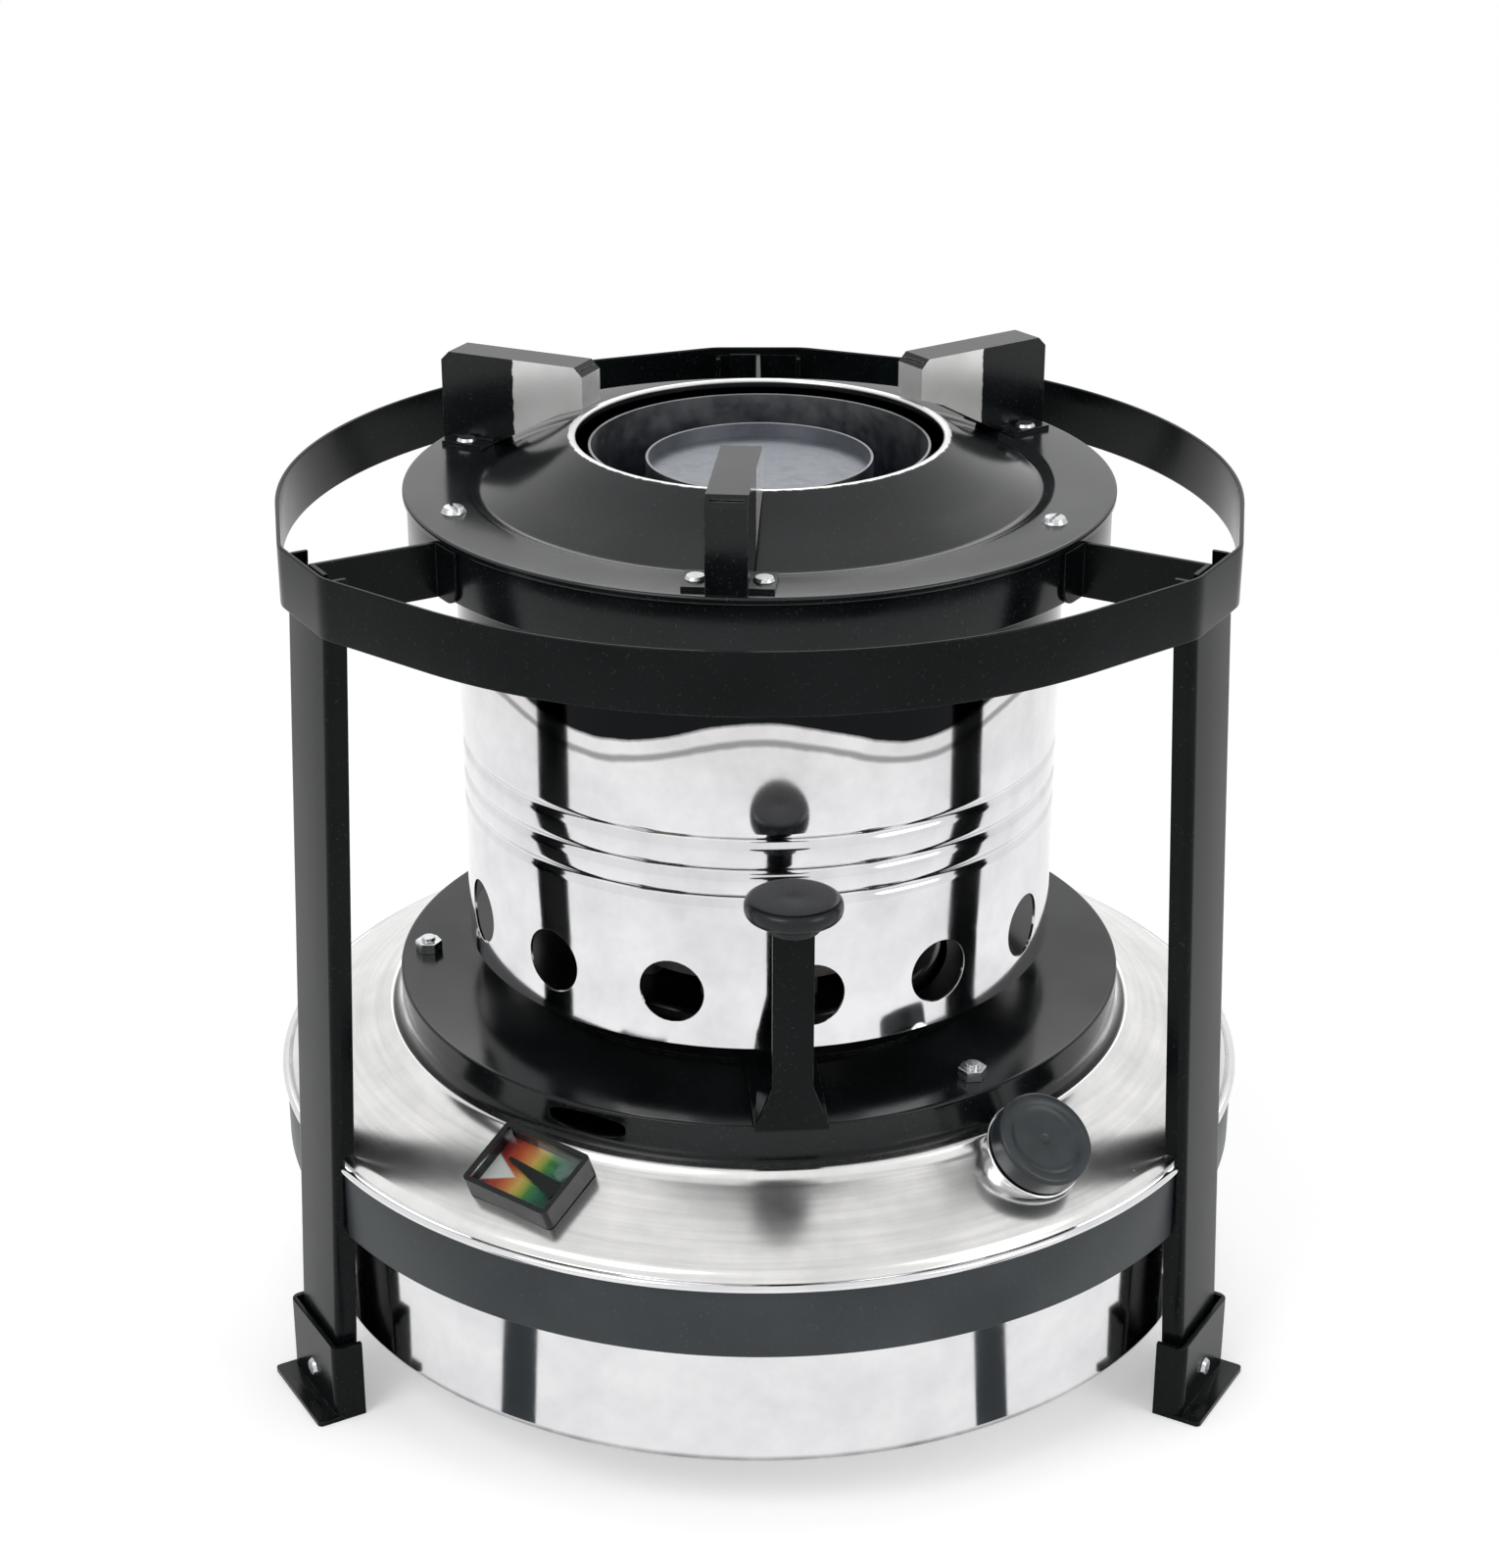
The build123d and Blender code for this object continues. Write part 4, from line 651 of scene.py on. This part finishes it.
def upperRing(setting):
    # a strip on edge carried round a path that is flat over each leg and an arc between the legs. A straight
    # blend joins them, from a along w, where a ray u has the reach (a x w) / (u x w). The reach is averaged
    # over a few degrees, so that the bends are round
    columns, share = setting["columns"], 360 / setting["legs"]
    turn = np.linspace(0, 2 * np.pi, columns, endpoint=False)
    offset = np.abs((np.degrees(turn) - setting["firstLeg"] + share / 2) % share - share / 2)
    away, blend = np.radians(offset), math.radians(setting["blend"])
    a = np.array([setting["flatReach"], setting["flatHalf"]])
    w = around(setting["radius"], blend, 0.0)[:2] - a
    straight = (a[0] * w[1] - a[1] * w[0]) / (np.cos(away) * w[1] - np.sin(away) * w[0])
    reach = np.where(offset < math.degrees(math.atan2(a[1], a[0])), a[0] / np.cos(away),
                     np.where(offset < setting["blend"], straight, setting["radius"]))
    window = np.hanning(2 * int(setting["soften"] * columns / 360) + 1)
    span = len(window) // 2
    wrapped = np.concatenate([reach[-span:], reach, reach[:span]])
    reach = np.convolve(wrapped, window / window.sum(), "valid")
    path = around(reach, turn, 0.0)[:, :2]
    along = np.roll(path, -1, axis=0) - np.roll(path, 1, axis=0)
    out = np.stack([along[:, 1], -along[:, 0]], axis=1) / np.linalg.norm(along, axis=1, keepdims=True)
    section = stripSection(-setting["sheet"], 0, setting["bottom"], setting["top"], setting["edge"])
    flat = path[None] + section[:, :1, None] * out[None]
    height = np.broadcast_to(section[:, 1:, None], flat.shape[:2] + (1,))
    points = np.concatenate([flat, height], axis=2).reshape(-1, 3)
    return points, gridFaces(len(section), columns, True, True)


finishPiece("ring_upper", meshOf("ring_upper", *upperRing(rings)),
            deepEnamel, "stove", ["upper_ring"])
print("rings made")


# Burner plate

plate = {
    "sheet": 0.8, "columns": 300,
    "line": [(51.4, 266.9), (51.4, 268.9), (53.2, 269.3), (64.0, 261.9), (76.5, 256.0), (79.5, 254.6),
             (82.0, 256.0), (100.0, 256.0), (100.0, 254.0)],
    "bends": [0.25, 0.9, 1.2, 8.0, 1.6, 1.6, 1.4, 0.9, 0.25],
}
spunPiece("burner_plate", sheetSection(plate["line"], plate["bends"], plate["sheet"], 6), plate["columns"],
          plateEnamel, "burner", ["top_plate"])


# Walls with openings. A band has a count of cells, each with its steps across and up, and rings of points
# from the cell's border in to its opening

def openingOutline(setting, angle):
    # an opening's outline at angles about its middle: a circle, a square on its corner where |x| + |z| is the
    # size, or a slot, whose nearest point of the middle line carries the radius of its round ends
    unit = np.stack([np.cos(angle), np.sin(angle)], 1)
    if setting["shape"] == "square":
        unit = unit / np.abs(unit).sum(axis=1, keepdims=True)
    outline = setting["hole"] * unit
    if setting["shape"] == "slot":
        half = setting["slotHalf"]
        outline[:, 0] += np.clip(half * np.cos(angle) * 1.15, -half, half)
    return outline


def openedBand(setting):
    # a band of a cylinder in equal cells: an open cell is rings (1 - s) border + s outline, a shut one is a
    # plain grid, and both are wrapped round the axis, azimuth = centre + x / radius
    radius, count, across, up = setting["radius"], setting["count"], setting["across"], setting["up"]
    middle = setting.get("middle", (setting["from"] + setting["to"]) / 2)
    half = math.pi * radius / count
    x = np.linspace(-half, half, across + 1)
    z = np.linspace(setting["from"], setting["to"], up + 1) - middle
    border = np.concatenate([
        np.stack([x[:-1], np.full(across, z[0])], 1), np.stack([np.full(up, x[-1]), z[:-1]], 1),
        np.stack([x[:0:-1], np.full(across, z[-1])], 1), np.stack([np.full(up, x[0]), z[:0:-1]], 1)])
    # the angles of a long slot are taken in a cell squeezed to a square, which spreads its points
    squeeze = (half, z[-1]) if setting["shape"] == "slot" else (1, 1)
    outline = openingOutline(setting, np.arctan2(border[:, 1] / squeeze[1], border[:, 0] / squeeze[0]))
    share = np.linspace(0, 1, setting["rings"] + 1)[:, None, None] ** 0.8
    opened = np.zeros(count, bool)
    opened[setting.get("open", slice(None))] = True
    centres = np.radians(setting["first"] + np.arange(count) * 360 / count)
    openCell = ((1 - share) * border + share * outline, centres[opened], True)
    shutCell = (np.stack(np.meshgrid(x, z), axis=-1), centres[~opened], False)
    parts = []
    for flat, chosen, closed in (openCell, shutCell):
        if len(chosen):
            turn = chosen[:, None] + (flat[..., 0] / radius).reshape(1, -1)
            cells = around(radius, turn, (flat[..., 1] + middle).reshape(1, -1))
            parts.append(repeated(cells, gridFaces(*flat.shape[:2], False, closed)))
    return joined(parts)


def bandedPiece(name, rows, bands, setting, material, body, node):
    # plain rows above and below the opened bands, merged into one sheet, then given its thickness inwards
    columns = setting["count"] * setting["across"]
    turn = np.radians(setting["first"] - 180 / setting["count"] + np.arange(columns) * 360 / columns)
    parts = [(turned(line, turn), gridFaces(len(line), columns, False, True)) for line in rows]
    parts += [openedBand(band) for band in bands]
    mesh = meshOf(name, *joined(parts), gap=meshing["gap"], shell=False)
    piece = finishPiece(name, mesh, material, body, [node], sharp=meshing["sheetEdge"])
    wall = piece.modifiers.new("sheet", "SOLIDIFY")
    wall.thickness = setting["sheet"] * mm
    wall.offset = -1
    roundEdges(piece, setting["edge"], meshing["sheetEdge"])


def plainWall(radius, low, high):
    # a plain stretch of a wall, with one row half way up
    return [(radius, low), (radius, (low + high) / 2), (radius, high)]


# Drum

drum = {
    "radius": 86.0, "flange": 92.0, "bottom": 120.0, "top": 254.4, "bend": 0.8, "sheet": 0.8, "edge": 0.12,
    "grooveHeights": (165.0, 173.0, 182.0), "grooveHalf": 1.7, "grooveDepth": 0.9,
    "from": 125.0, "to": 147.0, "shape": "round", "hole": 9.2, "count": 14, "first": 228.0,
    "across": 16, "up": 10, "rings": 5,
}


def drumWall(setting):
    # the wall above the holes: pressed grooves of three points each, at the wall, at the groove's bottom and
    # at the wall again, and a flange at the top
    radius, half = setting["radius"], setting["grooveHalf"]
    reach = np.tile([radius, radius - setting["grooveDepth"], radius], len(setting["grooveHeights"]))
    up = (np.array(setting["grooveHeights"])[:, None] + [-half, 0, half]).reshape(-1)
    top = [(radius, setting["top"]), (setting["flange"], setting["top"])]
    line = np.vstack([[(radius, setting["to"])], np.stack([reach, up], axis=1), top])
    return roundedLine(line, setting["bend"], 3)


bandedPiece("burner_drum", [plainWall(drum["radius"], drum["bottom"], drum["from"]), drumWall(drum)], [drum],
            drum, drumSteel, "burner", "drum")


# Burner pan: its wall has one slot, which the lever runs in

pan = {
    "radius": 107.0, "mouth": 58.0, "bottom": 96.0, "top": 108.0, "bend": 1.2, "sheet": 1.0, "edge": 0.2,
    "from": 97.6, "to": 106.7, "middle": 102.75, "shape": "slot", "hole": 3.25, "slotHalf": 8.75,
    "count": 12, "open": [0], "first": 243.7, "across": 24, "up": 8, "rings": 4,
}
panFoot = [(pan["radius"], pan["bottom"]), (pan["radius"], pan["from"])]
panTop = [(pan["radius"], pan["to"]), (pan["radius"], pan["top"]), (pan["mouth"], pan["top"])]
bandedPiece("pan_black", [panFoot, roundedLine(panTop, pan["bend"], 5)], [pan],
            pan, glossEnamel, "stove", "burner_pan")


# Flame cylinders: two walls full of small openings that stand on their corners, and the disc that shuts the
# inner one

flame = {
    "outer": {"radius": 48.0, "top": 266.0, "count": 14},
    "inner": {"radius": 32.0, "top": 262.0, "count": 10},
    "bottom": 121.0, "rowHeights": (172.0, 192.0, 212.0, 232.0), "rowHalf": 6.0, "shape": "square",
    "hole": 2.6, "first": 0.0, "across": 12, "up": 6, "rings": 3, "sheet": 0.8, "edge": 0.12,
    "disc": [(0, 257.2), (31.2, 257.2), (31.2, 258.0), (0, 258.0)], "discColumns": 120,
}
for side in ("outer", "inner"):
    # every other row of openings is half a cell on
    setting = {**flame, **flame[side]}
    half, radius = setting["rowHalf"], setting["radius"]
    bands = [{**setting, "from": z - half, "to": z + half, "first": (row % 2) * 180 / setting["count"]}
             for row, z in enumerate(setting["rowHeights"])]
    lows = [setting["bottom"]] + [band["to"] for band in bands]
    highs = [band["from"] for band in bands] + [setting["top"]]
    rows = [plainWall(radius, low, high) for low, high in zip(lows, highs)]
    bandedPiece(f"flame_cylinder_{side}", rows, bands, setting, burnerSteel, "burner",
                f"{side}_flame_cylinder")
spunPiece("flame_cylinder_cap", flame["disc"], flame["discColumns"],
          burnerSteel, "burner", [])
print("burner made")


# Filler neck, gasket and cap, on an axis that leans outwards

def slopedPlace(azimuth, reach, lean, turn=0.0):
    # a point of the tank's slope, with x along the tank's round and turned on the slope, and a normal that
    # leans outwards
    away, tilt, spin = math.radians(azimuth), math.radians(lean), math.radians(turn)
    (topReach, topHeight), (footReach, footHeight) = slope["top"], slope["foot"]
    height = topHeight - (reach - topReach) * (topHeight - footHeight) / (footReach - topReach)
    normal = around(math.sin(tilt), away, math.cos(tilt))
    along = around(1.0, away + math.pi / 2, 0.0)
    along = math.cos(spin) * along + math.sin(spin) * np.cross(normal, along)
    return around(reach, away, height), along, normal


filler = {
    "azimuth": 307.4, "reach": 120.3, "lean": 38.0, "edge": 0.25, "neckColumns": 96,
    "neck": [(9.7, -6.0), (12.4, -6.0), (12.4, 4.2), (14.2, 4.2), (14.2, 5.0), (10.5, 5.0), (10.5, 10.0),
             (9.7, 10.0)],
    "gasket": (10.8, 12.8, 5.0, 5.9), "gasketColumns": 72,
    "cap": [(0, 11.45), (1.1, 11.45), (1.6, 11.62), (9.2, 11.62), (10.8, 12.6), (13.8, 12.6), (13.8, 5.9),
            (10.8, 5.9), (10.8, 10.8), (0, 10.8)],
    "capBends": [0, 0.3, 0.4, 1.2, 1.0, 1.4, 0.5, 0.3, 0.4, 0], "capColumns": 128,
}
atFiller = slopedPlace(filler["azimuth"], filler["reach"], filler["lean"])
spunPiece("neck_steel", softCorners(filler["neck"], filler["edge"], 3), filler["neckColumns"],
          tankSteel, "stove", ["filler_neck"], atFiller)
spunPiece("gasket_ring", stripSection(*filler["gasket"], filler["edge"], 2), filler["gasketColumns"],
          gasketRubber, "gasket", ["cap_gasket"], atFiller)
spunPiece("cap_round", softCorners(filler["cap"], filler["capBends"], 5), filler["capColumns"],
          capPlastic, "cap", ["filler_cap"], atFiller)


# Lever knob: a flat disc with soft edges on a short boss

knob = {
    "azimuth": 274.4, "reach": 112.25, "columns": 96,
    "outline": [(0, 169.6), (7.2, 169.6), (7.2, 173.4), (13.0, 173.4), (13.0, 178.6), (4.0, 178.6),
                (0, 178.3)],
    "bends": [0, 0.5, 0.6, 2.4, 2.4, 3.0, 0],
}
knobMiddle = around(knob["reach"], math.radians(knob["azimuth"]), 0)
spunPiece("knob_round", softCorners(knob["outline"], knob["bends"], 6), knob["columns"],
          knobResin, "lever", ["lever_knob"], (knobMiddle, (1, 0, 0), (0, 0, 1)))


# Wicks: braided cotton cords, each a round bar with a soft, slightly uneven top

wick = {"count": 10, "circle": 40.25, "radius": 3.7, "lobes": 6, "lobe": 0.03, "bottom": 35.0, "top": 130.0,
        "around": 28}


def wickPoints(setting):
    # a lobed section, r (1 - lobe + lobe cos(lobes a)), upright to 1.4 mm below the top, then a low dome
    rise = np.concatenate([setting["bottom"] + np.array([0, 0, 30, 60, 90]),
                           setting["top"] - np.array([1.4, 0.4, 0, 0])])
    share = np.array([0, 1, 1, 1, 1, 0.98, 0.85, 0.5, 0])
    turn = np.linspace(0, 2 * np.pi, setting["around"], endpoint=False)
    lobed = setting["radius"] * (1 - setting["lobe"] + setting["lobe"] * np.cos(setting["lobes"] * turn))
    cord = around(share[:, None] * lobed, turn, rise[:, None]).reshape(-1, 3)
    middle = around(setting["circle"], np.arange(setting["count"]) * 2 * np.pi / setting["count"], 0.0)
    return repeated(middle[:, None] + cord[None], gridFaces(len(rise), len(turn), False, True))


finishPiece("wick_cords", meshOf("wick_cords", *wickPoints(wick)),
            cottonWick, "carrier", ["wicks"])


# Gauge dial: a card whose own map runs 0 to 1 across its length and width

gauge = {"azimuth": 240.0, "reach": 123.1, "turn": -6.5,
         "length": 25.8, "width": 18.4, "low": 1.2, "high": 1.8}


def dialPoints(setting):
    # a flat closed card: a rectangle's corners at its low and at its high side, with local x along the tank's
    # round and y up the slope
    uv = np.tile([(0.0, 0.0), (1.0, 0.0), (1.0, 1.0), (0.0, 1.0)], (2, 1))
    corners = np.column_stack([(uv - 0.5) * (setting["length"], setting["width"]),
                               np.repeat([setting["low"], setting["high"]], 4)])
    faces = [(0, 3, 2, 1), (4, 5, 6, 7), (0, 1, 5, 4), (1, 2, 6, 5), (2, 3, 7, 6), (3, 0, 4, 7)]
    return corners, faces, uv


slopeLean = math.degrees(math.atan2(slope["top"][1] - slope["foot"][1], slope["foot"][0] - slope["top"][0]))
corners, faces, uv = dialPoints(gauge)
corners = placed(corners, *slopedPlace(gauge["azimuth"], gauge["reach"], slopeLean, gauge["turn"]))
finishPiece("dial_card", meshOf("dial_card", corners, faces, uv=uv),
            dialCard, "stove", ["gauge_dial"])
print("cap, knob, wicks and dial made")


# Pieces that keep their CAD shape, with their edges rounded by a radius

kept = [
    ("leg_left leg_right leg_back foot_left foot_right foot_back", deepEnamel, "satin_enamel", "stove", 0.3),
    ("foot_rivets", zincSteel, "bright_steel", "stove", 0.2),
    ("arm_left arm_right arm_back", deepEnamel, "black_enamel", "stove", 0.3),
    ("pan_studs", zincSteel, "bright_steel", "stove", 0.2),
    ("wick_housing", glossEnamel, "black_enamel", "stove", 0.15),
    ("wick_tubes", burnerSteel, "burner_steel", "stove", 0.1),
    ("gauge_housing", gaugePlastic, "gauge_plastic", "stove", 0.35),
    ("gauge_window", clearWindow, "clear_window", "stove", 0.0),
    ("gauge_bracket", zincSteel, "bright_steel", "stove", 0.15),
    ("gauge_pointer", gaugePlastic, "gauge_plastic", "pointer", 0.1),
    ("pot_support_left pot_support_right pot_support_front", supportEnamel, "black_enamel", "burner", 0.45),
    ("support_rivets", zincSteel, "bright_steel", "burner", 0.2),
    ("plate_screws", zincSteel, "bright_steel", "burner", 0.15),
    ("cross_rods", zincSteel, "bright_steel", "burner", 0.0),
    ("lever_ring", deepEnamel, "black_enamel", "lever", 0.2),
    ("wick_lever", deepEnamel, "black_enamel", "lever", 0.3),
    ("lever_rivets", zincSteel, "bright_steel", "lever", 0.2),
    ("wick_carrier", zincSteel, "bright_steel", "carrier", 0.1),
    ("float_arm", brassWire, "brass_wire", "float", 0.0),
    ("tank_float", corkFloat, "float_cork", "float", 0.6),
]
for nodes, *finish in kept:
    for node in nodes.split():
        finishedCopy(node, *finish)
print("kept pieces made:", sum(len(row[0].split()) for row in kept))


# Studio: a pale floor, a white room, soft lamps and two dark flags that only reflections see

studio = {
    "white": "#ffffff", "floor": "#fafafa", "fibre": 3.0, "floorRadius": 5000.0, "floorHeight": -0.02,
    "floorColumns": 96, "lift": 0.26, "whiteFrom": 300.0, "whiteTo": 620.0, "room": 0.62,
    "lamps": [("key box", 9.0, (-900, -1000, 1500), (900, 900)),
              ("fill box", 5.0, (1200, -800, 1000), (700, 1000)),
              ("back box", 5.0, (100, 1400, 1300), (1400, 600))],
    "lampAim": (0, 0, 130),
    "flagDark": "#3c4043", "flagLight": "#45494c", "flagFibre": 4.0, "flagHeight": 0.4,
    "flags": [[(80.9, -134.6), (101.5, -148.7), (127.4, -167.1), (162.5, -193.2),
               (181.9, -171.9), (143.1, -151.2), (114.6, -137.0), (91.9, -126.3)],
              [(-83.4, -132.9), (-104.5, -146.3), (-131.0, -163.9), (-167.2, -188.8),
               (-187.8, -164.4), (-147.9, -145.8), (-118.6, -132.9), (-95.4, -123.3)]],
}


def seenShare(add):
    # 1 for what the camera sees itself, in a mirror or through something clear, and 0 for light on its way
    rays = add("LightPath").node.outputs
    sent = add("Math", (rays["Is Glossy Ray"], rays["Is Transmission Ray"]), operation="MAXIMUM")
    return add("Math", (rays["Is Camera Ray"], sent), operation="MAXIMUM")


def stagePiece(name, points, faces, material):
    # a thing of the studio, which isn't part of the stove
    mesh = meshOf(name, points, faces, shell=False)
    mesh.materials.append(material)
    thing = linked(name, mesh)
    return thing


def darkFlag(number, corners):
    # a card that lies just above the floor beside the stove, matt and dark: only reflections see it
    material, add, place = startFinish(f"matt dark card {number}")
    fibre = add("TexNoise", {"Vector": place, "Scale": 1 / (studio["flagFibre"] * mm)})
    colour = add("Mix", {0: fibre, 6: studio["flagDark"], 7: studio["flagLight"]}, **rgba)
    endFinish(material, add, {"Base Color": colour, "Roughness": 1.0, "Specular IOR Level": 0.0})
    points = np.column_stack([corners, np.full(len(corners), studio["flagHeight"])])
    flag = stagePiece(f"flag {number}", points, [range(len(corners))], material)
    for ray in ("camera", "diffuse", "shadow", "transmission"):
        setattr(flag, "visible_" + ray, False)


def floorPiece():
    # a flat disc of matt paper; what is seen of it is lifted, and turns plain white away from the stove
    material, add, place = startFinish("matt paper floor")
    fibre = add("TexNoise", {"Vector": place, "Scale": 1 / (studio["fibre"] * mm), "Detail": 3.0})
    colour = add("Mix", {0: fibre, 6: studio["floor"], 7: studio["white"]}, **rgba)
    away = add("VectorMath", (place,), "Value", operation="LENGTH")
    far = add("MapRange", (away, studio["whiteFrom"] * mm, studio["whiteTo"] * mm))
    seen = seenShare(add)
    paper = add("BsdfPrincipled", {
        "Base Color": colour, "Roughness": 0.9, "Specular IOR Level": 0.1, "Emission Color": studio["white"],
        "Emission Strength": add("Math", (seen, studio["lift"]), **times)})
    share = add("Math", (seen, far), **times)
    both = add("MixShader", (share, paper, add("Emission", {"Color": studio["white"]})))
    add("OutputMaterial", {"Surface": both}, None)
    turn = np.linspace(0, 2 * np.pi, studio["floorColumns"], endpoint=False)
    points = turned([(reach, studio["floorHeight"]) for reach in (0.0, studio["floorRadius"])], turn)
    stagePiece("floor", points, gridFaces(2, len(turn), False, True)[:, ::-1], material)


def softLamp(name, power, place, size):
    # a soft box that looks at the stove
    lamp = bpy.data.lights.new(name, "AREA")
    lamp.shape = "RECTANGLE"
    lamp.size, lamp.size_y = np.array(size) * mm
    lamp.energy = power
    lampObject = linked(name, lamp)
    lampObject.location = np.array(place) * mm
    way = np.array(studio["lampAim"]) - place
    yaw = math.atan2(way[1], way[0]) - math.pi / 2
    pitch = math.atan2(way[2], math.hypot(way[0], way[1])) + math.pi / 2
    lampObject.rotation_euler = (pitch, 0.0, yaw)


for number, corners in enumerate(studio["flags"], 1):
    darkFlag(number, corners)
floorPiece()

world = bpy.data.worlds.new("studio room")
world.use_nodes = True
world.node_tree.nodes.clear()
bpy.context.scene.world = world
add = partial(addNode, world.node_tree)
strength = add("MapRange", (seenShare(add), 0.0, 1.0, studio["room"], 1.0))
add("OutputWorld", {"Surface": add("Background", {"Color": studio["white"], "Strength": strength})}, None)
for lamp in studio["lamps"]:
    softLamp(*lamp)


# Camera, with its focal length in pixels of the photograph

shot = {"place": (-2.8, -810.0, 516.0), "down": 23.64, "focal": 3072.0, "longSide": 1600.0, "sensor": 36.0,
        "clip": (10.0, 30000.0)}
camera = bpy.data.cameras.new("photo camera")
camera.sensor_width = shot["sensor"]
camera.lens = shot["focal"] * shot["sensor"] / shot["longSide"]
camera.clip_start, camera.clip_end = np.array(shot["clip"]) * mm
cameraObject = linked("photo camera", camera)
cameraObject.location = np.array(shot["place"]) * mm
cameraObject.rotation_euler = (math.radians(90 - shot["down"]), 0.0, 0.0)
bpy.context.scene.camera = cameraObject
bpy.context.scene.view_settings.view_transform = "Standard"
print("studio made")
